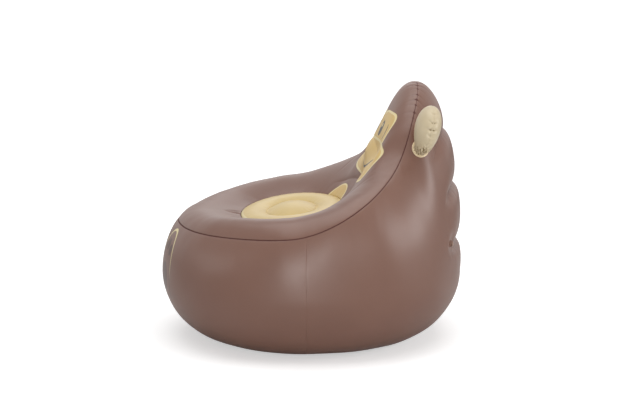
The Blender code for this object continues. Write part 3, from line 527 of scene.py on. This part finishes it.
# Foot print: ovals of (x, z, half width, half height, power), and toes of (x, z)
SOLE, SOLE_INSIDE = (0.076, 0.178, 0.050, 0.100, 2), (0.076, 0.178, 0.0465, 0.0965, 2)
SOLE_BELOW, PAD = (0.076, 0.164, 0.0492, 0.108, 2), (0.076, 0.162, 0.029, 0.036, 2)
TOES, TOE_SIZE = ((0.052, 0.230), (0.076, 0.240), (0.100, 0.230)), (0.0095, 0.014, 2)
foot_print = [(PAD_BROWN, SOLE, SOLE_INSIDE), (CREAM, SOLE, SOLE_BELOW), (PAD_BROWN, PAD, None)]
foot_print += [(PAD_BROWN, (*toe, *TOE_SIZE), None) for toe in TOES]
front_vinyl = vinyl("calendered_vinyl_front_print", BROWN, BROWN_UNEVEN, FILM_ROUGHNESS, (), BROWN_WELD_AND_SHADE,
                    foot_print)
rear_vinyl = vinyl("calendered_vinyl_rear", BROWN, BROWN_UNEVEN, FILM_ROUGHNESS, (), BROWN_WELD_AND_SHADE)
chair_piece(front_wall, front_vinyl, "front_wall_film", "outer_wall_front")
chair_piece(rear_wall, rear_vinyl, "rear_wall_film", "outer_wall_rear")

# Seat
# A disc of printed cream film welded round its edge to the tub. Two upright rings of film
# inside hold it down, one near its edge and one under the round weld at its middle.
SEAT_HALF_WIDTH, SEAT_HALF_LENGTH, SEAT_SETBACK = 0.172, 0.126, -0.036
SEAT_FRONT_HEIGHT, SEAT_REAR_HEIGHT = 0.300, 0.326
SEAT_CROWN, SEAT_CENTRE_CROWN = 0.009, 0.017
RING_WELD_DEPTH, RING_WELD_SHARE = 0.002, 0.49
SEAT_EDGE_PULL, SEAT_RING_PULL, SEAT_PULL_REACH = 0.0015, 0.0013, 0.002
SEAT_EDGE_PUCKER_DEPTH, SEAT_RING_PUCKER_DEPTH = 0.0007, 0.0006
SEAT_COLUMNS, PALE_RIM_HALF_WIDTH = 220, 0.0035
SEAT_CREAM, SEAT_UNEVEN = "#ccb377", "#c7ad71"


def seat_point(turn, radius_share):
    """Seat: a tilted oval plane with a parabolic crown inside its round weld and another
    between that weld and the edge."""
    angle = np.radians(along(STATION_DEGREES, np.abs(turn)))
    x = SEAT_HALF_WIDTH * radius_share * np.sin(angle) * np.sign(turn)
    y = SEAT_SETBACK - SEAT_HALF_LENGTH * radius_share * np.cos(angle)
    tilt = (SEAT_REAR_HEIGHT - SEAT_FRONT_HEIGHT) / 2
    plane = SEAT_FRONT_HEIGHT + tilt * (1 - radius_share * np.cos(angle))
    ring = (radius_share - RING_WELD_SHARE) / (1 - RING_WELD_SHARE)
    inner = radius_share / RING_WELD_SHARE
    outer_crown = SEAT_CROWN * 4 * ring * (1 - ring) - RING_WELD_DEPTH * (1 - ring)
    inner_crown = SEAT_CENTRE_CROWN * (1 - inner ** 2) - RING_WELD_DEPTH
    return np.stack([x, y, plane + np.where(ring > 0, outer_crown, inner_crown)], -1)


seat_turns = wrapped(np.linspace(-1, 1, SEAT_COLUMNS + 1)[1:])
seat_turns[-1] = 1.0


def seat_gap(run, whole, share):
    """Rows close to the edge and to the round weld, wider between."""
    from_ring = np.abs(run - np.interp(-RING_WELD_SHARE, share, run))
    return np.minimum(np.minimum(0.0006 + 0.25 * run, 0.0007 + 0.25 * from_ring), 0.005)


seat_shares = -spaced(lambda share: seat_point(np.full_like(share, 0.5), -share), -1, -0.03, seat_gap)
seat_points = seat_point(seat_turns[None, :], seat_shares[:, None])
seat_run = lengths_along(seat_points)
from_ring = np.abs(seat_run - seat_run[np.abs(seat_shares - RING_WELD_SHARE).argmin()][None, :])
edge_turns = np.linspace(-1, 1, 2001)
edge_run = lengths_along(seat_point(edge_turns, np.ones_like(edge_turns)))
seat_place = np.interp(seat_turns, edge_turns, edge_run)
seat_sink = SEAT_EDGE_PULL * np.exp(-seat_run / SEAT_PULL_REACH)
seat_sink = seat_sink + SEAT_RING_PULL * np.exp(-from_ring / SEAT_PULL_REACH)
seat_sink += puckers(seat_place, seat_run, edge_run[-1],
                     marks(8, edge_run[-1], (0.012, 0.030), (0.004, 0.008), (0.004, 0.010)),
                     SEAT_EDGE_PUCKER_DEPTH)
seat_sink += puckers(seat_place, from_ring, edge_run[-1],
                     marks(9, edge_run[-1], (0.018, 0.040), (0.006, 0.012), (0.004, 0.009)),
                     SEAT_RING_PUCKER_DEPTH)
seat_points = seat_points - grid_normals(seat_points, True) * seat_sink[..., None]
seat_edge_tab = seat_points[0] + (0, 0, -TAB)
pale_rim = np.abs(seat_run - PALE_RIM_HALF_WIDTH) - PALE_RIM_HALF_WIDTH
seat = film_object("seat_film", np.concatenate([seat_edge_tab[None], seat_points]), True,
                   {"pale_rim": np.concatenate([pale_rim[:1], pale_rim])},
                   seat_point(np.zeros(1), np.zeros(1))[0])
seat_vinyl = vinyl("calendered_vinyl_seat_print", SEAT_CREAM, SEAT_UNEVEN, FILM_ROUGHNESS,
                   [("pale_rim", CREAM)])
chair_piece(seat, seat_vinyl, "seat_film", "seat_panel")

# Tub
# One wide panel of brown film makes the front lip, the arms and the face of the backrest.
# It is welded to the wall along the rim and to the seat, and carries the printed face.
RIM_LEAN_SHARES = (0.046, 0.048, 0.049, 0.05, 0.05, 0.053, 0.058, 0.072, 0.088, 0.098, 0.11, 0.12, 0.132)
RIM_RISE_SHARES = (0.066, 0.07, 0.078, 0.088, 0.097, 0.096, 0.085, 0.066, 0.04, 0.021, 0.01, 0.008, 0.014)
SEAT_LEAN_SHARES = (0.108, 0.106, 0.1, 0.094, 0.09, 0.087, 0.081, 0.072, 0.068, 0.069, 0.074, 0.096, 0.12)
SEAT_RISE_SHARES = (0.019, 0.026, 0.036, 0.046, 0.049, 0.046, 0.046, 0.052, 0.065, 0.08, 0.097, 0.106, 0.112)
FRONT_CREASE_DEPTH, FRONT_CREASE_REACH_SHARE = 0.006, 0.05
FRONT_CREASE_SHARES = (0.81, 0.54)
FACE_WAVE, FACE_WAVE_FORWARD_SHARE, FACE_WAVE_LENGTH = 0.012, 0.35, 0.185
FACE_WAVE_HEIGHT, FACE_WAVE_REACH, FACE_WAVE_END, FACE_WAVE_FADE = 0.465, 0.045, 0.210, 0.060
# Folds of (start, slope, width, end, depth). Those in front of the seat start at an x, those
# where the arms run into the back at a turn.
SEAT_FOLDS = ((-0.020, 0.35, 0.0045, 0.030, 0.0030), (0.006, -0.20, 0.0050, 0.028, 0.0072),
              (0.036, 0.30, 0.0050, 0.020, 0.0016))
ARM_FOLDS = ((0.700, 0.55, 0.0060, 0.100, 0.0007), (0.722, 0.70, 0.0075, 0.120, 0.0009),
             (0.752, 0.80, 0.0060, 0.090, 0.0006), (0.670, 0.40, 0.0070, 0.080, 0.0006))
FOLD_START, SEAT_PUCKER_DEPTH = 0.004, 0.0008


def tub_point(turn, share):
    """Tub: a cubic Bezier from the rim seam (share 0) through two handles over the arm to the
    seat's edge (share 1), less the two creases of the back ties. Across the face a cosine
    of x, faded by a bell curve of the height, brings the muzzle and the shoulders forward."""
    turn, share = np.broadcast_arrays(np.asarray(turn, float), np.asarray(share, float))
    rim, edge = rim_point(turn), seat_point(turn, np.ones_like(turn))
    inward = unit((edge - rim) * (1, 1, 0))
    up = np.array([0, 0, HEIGHT])
    rim_handle = rim + inward * HEIGHT * along(RIM_LEAN_SHARES, turn)[..., None]
    rim_handle = rim_handle + up * along(RIM_RISE_SHARES, turn)[..., None]
    seat_handle = edge - inward * HEIGHT * along(SEAT_LEAN_SHARES, turn)[..., None]
    seat_handle = seat_handle + up * along(SEAT_RISE_SHARES, turn)[..., None]
    near, far = 1 - share[..., None], share[..., None]
    point = near ** 3 * rim + 3 * near ** 2 * far * rim_handle
    point = point + 3 * near * far ** 2 * seat_handle + far ** 3 * edge
    pinch = sum(np.exp(-np.abs(share - place) / FRONT_CREASE_REACH_SHARE) for place in FRONT_CREASE_SHARES)
    fade = 1 - eased(np.abs(point[..., 0]), TIE_HALF_WIDTH, TIE_HALF_WIDTH + TIE_FADE)
    x, z = point[..., 0], point[..., 2]
    wave = np.cos(2 * math.pi * x / FACE_WAVE_LENGTH) + FACE_WAVE_FORWARD_SHARE
    wave = wave * np.exp(-((z - FACE_WAVE_HEIGHT) / FACE_WAVE_REACH) ** 2)
    wave = wave * eased(0.5 - np.abs(share - 0.5), 0, 0.25)
    wave = wave * (1 - eased(np.abs(x), FACE_WAVE_END, FACE_WAVE_END + FACE_WAVE_FADE))
    depth = (FRONT_CREASE_DEPTH * pinch * fade - FACE_WAVE * wave) * (rim[..., 1] > 0)
    return point - inward * depth[..., None]


def fold(across, length, width, start, stop):
    """A soft valley: a bell curve across it, eased in and out along its length."""
    return np.exp(-(across / width) ** 2) * eased(length, start - 0.01, start + 0.01) * (
        1 - eased(length, stop - 0.02, stop + 0.02))


def tub_gap(run, whole, share):
    """Rows close to both welds and to the two creases, wider between."""
    gap = np.minimum(0.0066, 0.0007 + 0.27 * np.minimum(run, whole - run))
    for place in FRONT_CREASE_SHARES:
        gap = np.minimum(gap, 0.0018 + 0.3 * np.abs(run - np.interp(place, share, run)))
    return gap


tub_turns = wrapped(spaced(lambda turn: rim_point(wrapped(turn)), -1, 1,
                           lambda run, whole, turn: column_gap(turn))[1:])
tub_turns[-1] = 1.0
tub_shares = spaced(lambda share: tub_point(np.full_like(share, 0.95), share), 0, 1, tub_gap)
tub_points = tub_point(tub_turns[None, :], tub_shares[:, None])
tub_normals = grid_normals(tub_points, True)
tub_run = lengths_along(tub_points)
to_seat = tub_run[-1:] - tub_run
tub_place = np.interp(tub_turns, RIM_TABLE_TURNS, RIM_TABLE_RUN)[None, :] - RIM_LENGTH / 2
tub_sink = WELD_PULL * np.exp(-tub_run / WELD_PULL_REACH) + WELD_PULL * np.exp(-to_seat / WELD_PULL_REACH)
tub_rim_sink, tub_gathers, tub_weld = rim_puckers(tub_turns, tub_run)
tub_sink += tub_rim_sink
tub_sink += puckers(seat_place.max() * (tub_turns + 1) / 2, to_seat, seat_place.max(),
                    marks(12, seat_place.max(), (0.016, 0.034), (0.006, 0.010), (0.005, 0.014)),
                    SEAT_PUCKER_DEPTH)
tub_sink -= undulation(tub_points) * (1 - np.exp(-np.minimum(tub_run, to_seat) / UNEVENNESS_FADE))
in_front = tub_points[..., 1] < SEAT_SETBACK
for start_x, slope, width, stop, depth in SEAT_FOLDS:
    from_fold = tub_points[..., 0] - start_x - slope * to_seat
    tub_sink += depth * fold(from_fold, to_seat, width, FOLD_START, stop) * in_front
for start_turn, slope, width, stop, depth in ARM_FOLDS:
    start = np.interp(start_turn, RIM_TABLE_TURNS, RIM_TABLE_RUN) - RIM_LENGTH / 2
    for side in (-1, 1):
        from_fold = side * tub_place - start + slope * tub_run
        tub_sink += depth * fold(from_fold, tub_run, width, FOLD_START, stop)
tub_points = tub_points - tub_normals * tub_sink[..., None]
# Mask, muzzle, smile, eye, glint and brow as ovals, and two lobes by the seat
FACE_CENTRE = 0.014
LOBE, LOBE_EDGE = (0.085, 0.0, 0.036, 0.041, 2.2), 0.0045
face_print = [
    (CREAM, (0.042, 0.513, 0.0514, 0.0504, 4), None), (GOLD, (0.042, 0.513, 0.0466, 0.0456, 4), None),
    (CREAM, (0.0, 0.446, 0.1306, 0.0506, 4), None), (GOLD, (0.0, 0.446, 0.1254, 0.0454, 4), None),
    (DARK, (0.0, 0.490, 0.098, 0.070, 2), (0.0, 0.496, 0.0985, 0.070, 2)),
    (DARK, (0.026, 0.520, 0.0115, 0.0185, 2), None), (CREAM, (0.023, 0.527, 0.0040, 0.0046, 2), None),
    (DARK, (0.068, 0.518, 0.009, 0.018, 2), (0.0635, 0.518, 0.0095, 0.020, 2))]
lobe = oval(np.abs(tub_points[..., 0]), to_seat, *LOBE) + 1.0 * (tub_points[..., 1] < 0.0)
# The weld and gathers measures draw the dark weld line, partly painted shade of its groove, and the painted
# shade in the gathers
tub_measures = {"weld": tub_weld, "gathers": tub_gathers, "lobe_edge": lobe, "lobe": lobe + LOBE_EDGE}
tub_tab = tub_points[:1] - tub_normals[:1] * TAB
seat_tab = tub_points[-1:] + (0, 0, -TAB)
tub_measures = {key: np.pad(value, ((1, 1), (0, 0)), mode="edge") for key, value in tub_measures.items()}
tub = film_object("tub_film", np.concatenate([tub_tab, tub_points, seat_tab]), True, tub_measures)
tub_vinyl = vinyl("calendered_vinyl_tub_print", BROWN, BROWN_UNEVEN, FILM_ROUGHNESS,
                  [("lobe_edge", CREAM), ("lobe", GOLD)], BROWN_WELD_AND_SHADE, face_print, FACE_CENTRE)
chair_piece(tub, tub_vinyl, "tub_film", "tub_panel")

# Base
# The flat round film that the chair stands on, welded to the foot of the wall by an edge
# turned up inside it. It is a little rougher than the rest.
BASE_COLUMNS, BASE_ROUGHNESS = 180, 0.45
BASE_ROW_SHARES = (1.0, 0.985, 0.95, 0.85, 0.7, 0.5, 0.3, 0.1)
base_turns = wrapped(np.linspace(-1, 1, BASE_COLUMNS + 1)[1:])
base_turns[-1] = 1.0
base_edge = wall_point(base_turns, -1.0)
base_rows = [base_edge * (share, share, 1) for share in BASE_ROW_SHARES]
base_points = np.array([base_edge + (0, 0, TAB), *base_rows])[:, ::-1]
base = film_object("base_film", base_points, True, None, np.zeros(3))
base_vinyl = vinyl("calendered_vinyl_base", BROWN, BROWN_UNEVEN, BASE_ROUGHNESS)
chair_piece(base, base_vinyl, "base_film", "base_panel")

# Ears
# Two pillows of cream film. Each is a front and a rear film welded round their edge, drawn
# together to a neck and welded to the head by a narrow round flange.
EAR_SPOT = (0.82, 0.885)
EAR_NECK_RADIUS, EAR_FLANGE_WIDTH, EAR_FLANGE_HEIGHT = 0.018, 0.004, 0.0010
EAR_HALF_WIDTH, EAR_HALF_HEIGHT, EAR_HALF_THICKNESS = 0.045, 0.058, 0.0335
EAR_OUTWARD, EAR_FORWARD = 0.046, 0.007
EAR_NARROWING_SHARE = 0.25
EAR_TILT, EAR_SWEEP = math.radians(8), math.radians(10)
# The right ear leans less than the left one and sits a little lower
EAR_POSES = {"left": (0.047, math.radians(13)), "right": (0.042, math.radians(6))}
EAR_INNER_DEGREES = (195, 170, 148, 128, 110, 86)
EAR_OUTER_DEGREES = (-110, -65, -25, 15, 55, 86)
EAR_WELD_WIDTH, EAR_WELD_PULL, EAR_WELD_PULL_REACH = 0.003, 0.0009, 0.0020
EAR_GATHER_DEPTH, EAR_FOLD_DEPTH = 0.0045, 0.0011
EAR_COLUMNS, EAR_NECK_ROWS, EAR_PILLOW_ROWS = 61, 26, 84
EAR_CROWDING, EAR_PILLOW_END = 0.55, 0.985
EAR_LEAVE_SHARE, EAR_ARRIVE_SHARE = 1.2, 0.9
# The flange's section as (share of its width, height)
EAR_FLANGE_SECTION = ((1.0, -0.0004), (1.0, 0.0008), (0.9, 0.0013), (0.5, 0.0012), (0.1, 0.0007))
EAR_CREAM, EAR_UNEVEN, EAR_FLANGE_CREAM, EAR_SHADE = "#bfb092", "#b8a889", "#d6c3a0", "#776340"


def head_place():
    """The ear's spot on the wall: its point, the normal there, and the matrix that turns an
    offset in metres into steps of turn and level."""
    turn, level = EAR_SPOT
    sideways = (wall_point(turn + 0.01, level) - wall_point(turn - 0.01, level)) / 0.02
    uphill = (wall_point(turn, level + 0.01) - wall_point(turn, level - 0.01)) / 0.02
    slopes = np.linalg.pinv(np.stack([sideways, uphill], 1))
    return wall_point(turn, level), unit(np.cross(sideways, uphill)), slopes


def ear_film(name, side_name, face_side, seed):
    """One film of an ear. Its pillow is half an ellipsoid swept by chords from the neck to the
    tip, its neck a cubic blend down to a half circle on the head, and its flange follows the
    head. It is gathered along its edge weld and wrinkled round the neck."""
    spot, normal, slopes = head_place()
    reach_up, lean = EAR_POSES[side_name]
    ear_upward = unit(np.array([-math.tan(EAR_TILT), math.sin(lean), math.cos(lean)]))
    ear_outward = np.array([math.cos(EAR_SWEEP), math.sin(EAR_SWEEP), 0])
    ear_outward = unit(ear_outward - ear_upward * (ear_outward @ ear_upward))
    ear_forward = np.cross(ear_outward, ear_upward)
    neck_up = unit(ear_upward - normal * (ear_upward @ normal))
    neck_front = unit(np.cross(normal, neck_up))
    neck_front = neck_front * np.sign(neck_front @ ear_forward) * face_side
    centre = spot + ear_outward * EAR_OUTWARD + ear_upward * reach_up + ear_forward * EAR_FORWARD
    across = np.linspace(0, 1, EAR_COLUMNS)
    across = across - EAR_CROWDING * np.sin(2 * math.pi * across) / (2 * math.pi)
    angle = math.pi * across
    ring = np.cos(angle)[:, None] * neck_up + np.sin(angle)[:, None] * neck_front

    def on_head(radius, height):
        offset = radius * ring
        step = offset @ slopes.T
        ground = wall_point(EAR_SPOT[0] + step[:, 0], EAR_SPOT[1] + step[:, 1])
        return ground + normal * (height + undulation(ground))[:, None]

    def pillow(place):
        inner = np.radians(np.interp(place, np.linspace(0, 1, 6), EAR_INNER_DEGREES))[:, None]
        outer = np.radians(np.interp(place, np.linspace(0, 1, 6), EAR_OUTER_DEGREES))[:, None]
        part = (1 - np.cos(angle)) / 2
        out_share = np.cos(inner) * (1 - part) + np.cos(outer) * part
        up_share = np.sin(inner) * (1 - part) + np.sin(outer) * part
        bulge = np.sqrt(np.maximum(0, 1 - out_share ** 2 - up_share ** 2))
        bulge = bulge * (1 + EAR_NARROWING_SHARE * (up_share - 1) / 2)
        return (centre + ear_outward * (EAR_HALF_WIDTH * out_share)[..., None]
                + ear_upward * (EAR_HALF_HEIGHT * up_share)[..., None]
                + ear_forward * (face_side * EAR_HALF_THICKNESS * bulge)[..., None])

    body = pillow(np.linspace(0, EAR_PILLOW_END, EAR_PILLOW_ROWS))
    foot = on_head(EAR_NECK_RADIUS, EAR_FLANGE_HEIGHT)
    length = np.linalg.norm(body[0] - foot, axis=-1, keepdims=True)
    leave = normal * length * EAR_LEAVE_SHARE
    arrive = unit(body[1] - body[0]) * length * EAR_ARRIVE_SHARE
    part = np.linspace(0, 1, EAR_NECK_ROWS + 1)[:-1, None, None]
    neck = ((2 * part ** 3 - 3 * part ** 2 + 1) * foot + (part ** 3 - 2 * part ** 2 + part) * leave
            + (3 * part ** 2 - 2 * part ** 3) * body[0] + (part ** 3 - part ** 2) * arrive)
    points = np.concatenate([neck, body])
    facing = unit(np.cross(np.gradient(points, axis=1), np.gradient(points, axis=0)))
    facing = facing * np.sign((facing * (points - centre)).sum(-1).mean())
    up = lengths_along(points)
    along_edge = lengths_along(points, axis=1)
    whole = up.max()
    chance = np.random.default_rng(seed)
    sink, gathers = np.zeros(points.shape[:2]), np.zeros(points.shape[:2])
    for edge, away in ((0, along_edge), (-1, along_edge[:, -1:] - along_edge)):
        close = marks(seed + edge, whole, (0.014, 0.024), (0.0020, 0.0032), (0.0025, 0.0050))
        gathers = np.maximum(gathers, puckers(up[:, edge], away.T, whole * 2, close, 1.0).T)
        sink += EAR_WELD_PULL * np.exp(-away / EAR_WELD_PULL_REACH)
    sink += EAR_GATHER_DEPTH * gathers
    folds = np.cos(2 * math.pi * (8 * across[None, :] + 40 * up + chance.uniform()))
    folds += 0.6 * np.cos(2 * math.pi * (13 * across[None, :] - 60 * up + chance.uniform()))
    drawn_in = 1 - eased((points - centre) @ ear_upward / EAR_HALF_HEIGHT, -0.85, -0.50)
    sink += EAR_FOLD_DEPTH * folds * drawn_in * eased(up, 0.001, 0.006)
    points = points - facing * sink[..., None]
    flange = [on_head(EAR_NECK_RADIUS + EAR_FLANGE_WIDTH * share, height)
              for share, height in EAR_FLANGE_SECTION]
    points = np.concatenate([flange, points])
    on_flange = np.zeros((len(flange), EAR_COLUMNS))
    # Painted shade along the ear's gathers and in the folds round the neck, carried in the weld measure; the
    # ear has no dark weld line of its own
    shade = 0.0050 - 0.0055 * np.concatenate([on_flange, gathers])
    neck_shade = 0.0012 + 0.0010 * (0.8 - folds) + 0.0040 * (1 - drawn_in)
    neck_shade = np.concatenate([on_flange + EAR_FLANGE_WIDTH, neck_shade])
    measures = {"flange": np.concatenate([on_flange, up]) - 0.0015, "weld": np.minimum(shade, neck_shade)}
    measures = {key: np.pad(value, ((0, 0), (1, 1)), mode="edge") for key, value in measures.items()}
    start_tab, stop_tab = (points[:, edge] + unit(centre - points[:, edge]) * EAR_WELD_WIDTH
                           for edge in (0, -1))
    points = np.concatenate([start_tab[:, None], points, stop_tab[:, None]], axis=1)
    tip = points[-1].mean(axis=0)
    if side_name == "right":
        points, tip, centre = points * (-1, 1, 1), tip * (-1, 1, 1), centre * (-1, 1, 1)
    outward = (grid_normals(points, False) * (points - centre)).sum(-1).mean()
    if outward < 0:
        points = points[:, ::-1]
        measures = {key: value[:, ::-1] for key, value in measures.items()}
    return film_object(name, points, False, measures, tip)


ear_vinyl = vinyl("calendered_vinyl_ear", EAR_CREAM, EAR_UNEVEN, FILM_ROUGHNESS,
                  [("flange", EAR_FLANGE_CREAM)], EAR_SHADE)
for seed, side_name in enumerate(EAR_POSES):
    for film_name, face_side in (("front", 1), ("rear", -1)):
        film = ear_film(f"ear_{side_name}_{film_name}_film", side_name, face_side, 40 + 4 * seed)
        chair_piece(film, ear_vinyl, "ear_film", f"ear_{side_name}_{film_name}")

# Valve
# A push-in valve of moulded vinyl: a flange welded inside the wall with a collar through it,
# a stem that slides in the collar, its plug, and a thin flap over the stem's inner end.
# Profiles of (radius, height along the axis), each from the piece's outer end to its inner one
FLANGE_PROFILE = (
    (0.0057, 0.0025), (COLLAR_RADIUS, 0.0025), (COLLAR_RADIUS, -0.00325), (0.0150, -0.00325),
    (0.0150, -0.00425), (COLLAR_RADIUS, -0.00425), (COLLAR_RADIUS, -0.00745), (0.0057, -0.00745))
STEM_PROFILE = ((0.0040, 0.0040), (0.0070, 0.0040), (0.0070, 0.0028), (0.0054, 0.0028), (0.0054, -0.0200),
                (0.0040, -0.0200))
PLUG_PROFILE = ((0.0, 0.0059), (0.0030, 0.0059), (0.0034, 0.0055), (0.0054, 0.0055), (0.0066, 0.0052),
                (0.0066, 0.0043), (0.0037, 0.0043), (0.0037, -0.0027), (0.0, -0.0027))
FLAP_PROFILE = ((0.0, -0.0203), (0.0054, -0.0203), (0.0054, -0.0209), (0.0, -0.0209))
VALVE_SIDES, VALVE_ROUNDING, VALVE_ROUGHNESS = 64, 0.00025, 0.40
VALVE_BROWN, VALVE_UNEVEN = "#8d6f60", "#86685a"
CLEAR, CLEAR_UNEVEN, CLEAR_ROUGHNESS = "#c9c4b8", "#bfb9ac", 0.25

valve_side = unit(np.cross((0, 0, 1), VALVE_AXIS))
valve_frame = np.stack([valve_side, np.cross(VALVE_AXIS, valve_side), VALVE_AXIS], 1)


def turned(name, profile, body, node, material):
    """Round piece turned about the valve's axis from (radius, height) pairs, with its edges
    rounded. A profile that starts on the axis is solid."""
    profile = np.array(profile)
    angle = np.linspace(0, 2 * math.pi, VALVE_SIDES, endpoint=False)
    flat = profile[:, 0][:, None, None] * np.stack([np.cos(angle), np.sin(angle)], -1)
    height = np.broadcast_to(profile[:, 1][:, None, None], (*flat.shape[:2], 1))
    points = np.concatenate([flat, height], -1) @ valve_frame.T + VALVE_CENTRE + (0, MID_DEPTH, 0)
    rows = len(profile)
    number = np.arange(rows * VALVE_SIDES).reshape(rows, VALVE_SIDES)
    pairs = list(zip(range(rows - 1), range(1, rows)))
    solid = profile[0, 0] == 0
    if not solid:
        pairs.append((rows - 1, 0))
    faces = []
    for first, second in pairs:
        ring, next_ring = number[first], number[second]
        faces += np.stack([ring, next_ring, np.roll(next_ring, -1), np.roll(ring, -1)], -1).tolist()
    mesh = bpy.data.meshes.new(name)
    mesh.from_pydata(points.reshape(-1, 3).tolist(), [], faces)
    work = bmesh.new()
    work.from_mesh(mesh)
    bmesh.ops.remove_doubles(work, verts=work.verts, dist=0.00002)
    bmesh.ops.recalc_face_normals(work, faces=work.faces)
    work.to_mesh(mesh)
    work.free()
    mesh.shade_smooth()
    piece = placed(name, mesh)
    rounding = piece.modifiers.new("rounded_edges", "BEVEL")
    rounding.width, rounding.segments, rounding.limit_method = VALVE_ROUNDING, 2, "ANGLE"
    rounding.harden_normals = True
    mesh.materials.append(material)
    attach(piece, body)
    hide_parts(node)
    return piece


valve_vinyl = vinyl("moulded_valve_vinyl", VALVE_BROWN, VALVE_UNEVEN, VALVE_ROUGHNESS)
flap_vinyl = vinyl("clear_flap_vinyl", CLEAR, CLEAR_UNEVEN, CLEAR_ROUGHNESS)
turned("valve_flange_ring", FLANGE_PROFILE, "chair", "valve_flange", valve_vinyl)
turned("valve_stem_tube", STEM_PROFILE, "valve_stem", "valve_stem", valve_vinyl)
turned("valve_plug_cap", PLUG_PROFILE, "valve_plug", "valve_plug", valve_vinyl)
turned("valve_flap_disc", FLAP_PROFILE, "valve_flap", "valve_flap", flap_vinyl)

# Ties
# Strips and rings of clear vinyl film welded inside, which only the light through an opened
# chair would show. Their CAD solids have the real shape and stay.
TIE_OPACITY = 0.6
clear_vinyl = vinyl("clear_vinyl_ties", CLEAR, CLEAR_UNEVEN, CLEAR_ROUGHNESS)
clear_vinyl.node_tree.nodes["Principled BSDF"].inputs["Alpha"].default_value = TIE_OPACITY
for node_name in ("seat_rim_tie", "seat_centre_tie", "back_tie_lower", "back_tie_middle", "back_tie_upper"):
    node_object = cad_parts[node_name]
    node_object.data.materials.clear()
    node_object.data.materials.append(clear_vinyl)

# Floor
# A plain pale studio floor. Its white comes from its own colour and a little camera-only
# light, so that it keeps the chair's shadow.
FLOOR_REACH, FLOOR_LEVEL, FLOOR_GREY, FLOOR_ROUGHNESS = 30, -0.001, 0.80, 0.9
LIFT_FROM, LIFT_TO, NEAR_LIFT, FAR_LIFT = 0.6, 4.0, 0.48, 0.85
floor_mesh = bpy.data.meshes.new("floor")
floor_corners = [(FLOOR_REACH * x, FLOOR_REACH * y, FLOOR_LEVEL)
                 for x, y in ((-1, -1), (1, -1), (1, 1), (-1, 1))]
floor_mesh.from_pydata(floor_corners, [], [(0, 1, 2, 3)])
floor = placed("floor", floor_mesh)
floor_paint = bpy.data.materials.new("matt_studio_floor")
floor_paint.use_nodes = True
floor_tree = floor_paint.node_tree
floor_shader = floor_tree.nodes["Principled BSDF"]
floor_shader.inputs["Base Color"].default_value = (FLOOR_GREY, FLOOR_GREY, FLOOR_GREY, 1)
floor_shader.inputs["Roughness"].default_value = FLOOR_ROUGHNESS
floor_shader.inputs["Specular IOR Level"].default_value = 0.1
seen = add(floor_tree, "LightPath").outputs["Is Camera Ray"]
floor_place = add(floor_tree, "TexCoord").outputs["Object"]
from_middle = add(floor_tree, "VectorMath", [("operation", "LENGTH")], [(0, floor_place)])
far_lift = ranged(floor_tree, from_middle.outputs["Value"], LIFT_FROM, LIFT_TO, NEAR_LIFT, FAR_LIFT)
lift = add(floor_tree, "Math", [("operation", "MULTIPLY")], [(0, seen), (1, far_lift)])
floor_tree.links.new(lift.outputs[0], floor_shader.inputs["Emission Strength"])
floor_shader.inputs["Emission Color"].default_value = (1, 1, 1, 1)
floor_mesh.materials.append(floor_paint)

# Studio light
# Wide soft boxes overhead, in front of the near side and at both ends, all turned to the
# chair's middle, and a pale surround that the camera and reflections see at full strength.
SURROUND_LEVEL, BOXES_AIM = 0.34, (0, 0, 0.3)
for name, azimuth, elevation, distance, width, height, power in (
        ("overhead_box", 0.0, 86.0, 2.6, 3.2, 3.2, 62.0),
        ("near_box", -7.0, -0.5, 3.0, 1.1, 0.5, 16.0),
        ("near_wall_box", 14.0, 9.5, 6.2, 6.2, 1.5, 62.0),
        ("rear_box", 74.0, 14.0, 2.8, 0.9, 1.0, 20.0),
        ("front_box", -75.0, 12.0, 4.2, 2.6, 1.0, 12.0),
        ("far_box", 175.0, 26.0, 3.4, 1.6, 0.9, 5.0)):
    lamp_data = bpy.data.lights.new(name, "AREA")
    lamp_data.shape = "RECTANGLE"
    lamp_data.size, lamp_data.size_y = width, height
    lamp_data.energy = power
    turn, rise = math.radians(azimuth), math.radians(elevation)
    toward = Vector((math.cos(rise) * math.cos(turn), math.cos(rise) * math.sin(turn), math.sin(rise)))
    lamp = placed(name, lamp_data)
    lamp.location = Vector(BOXES_AIM) + toward * distance
    lamp.rotation_euler = toward.to_track_quat("Z", "Y").to_euler()
world = bpy.data.worlds.new("pale_surround")
bpy.context.scene.world = world
world.use_nodes = True
surround = world.node_tree.nodes["Background"]
surround.inputs["Color"].default_value = (1, 1, 1, 1)
world_rays = add(world.node_tree, "LightPath")
world_seen = add(world.node_tree, "Math", [("operation", "MAXIMUM")],
                 [(0, world_rays.outputs["Is Camera Ray"]), (1, world_rays.outputs["Is Glossy Ray"])])
world_level = ranged(world.node_tree, world_seen.outputs[0], 0.0, 1.0, SURROUND_LEVEL, 1.0)
world.node_tree.links.new(world_level, surround.inputs["Strength"])
bpy.context.scene.view_settings.view_transform = "Standard"
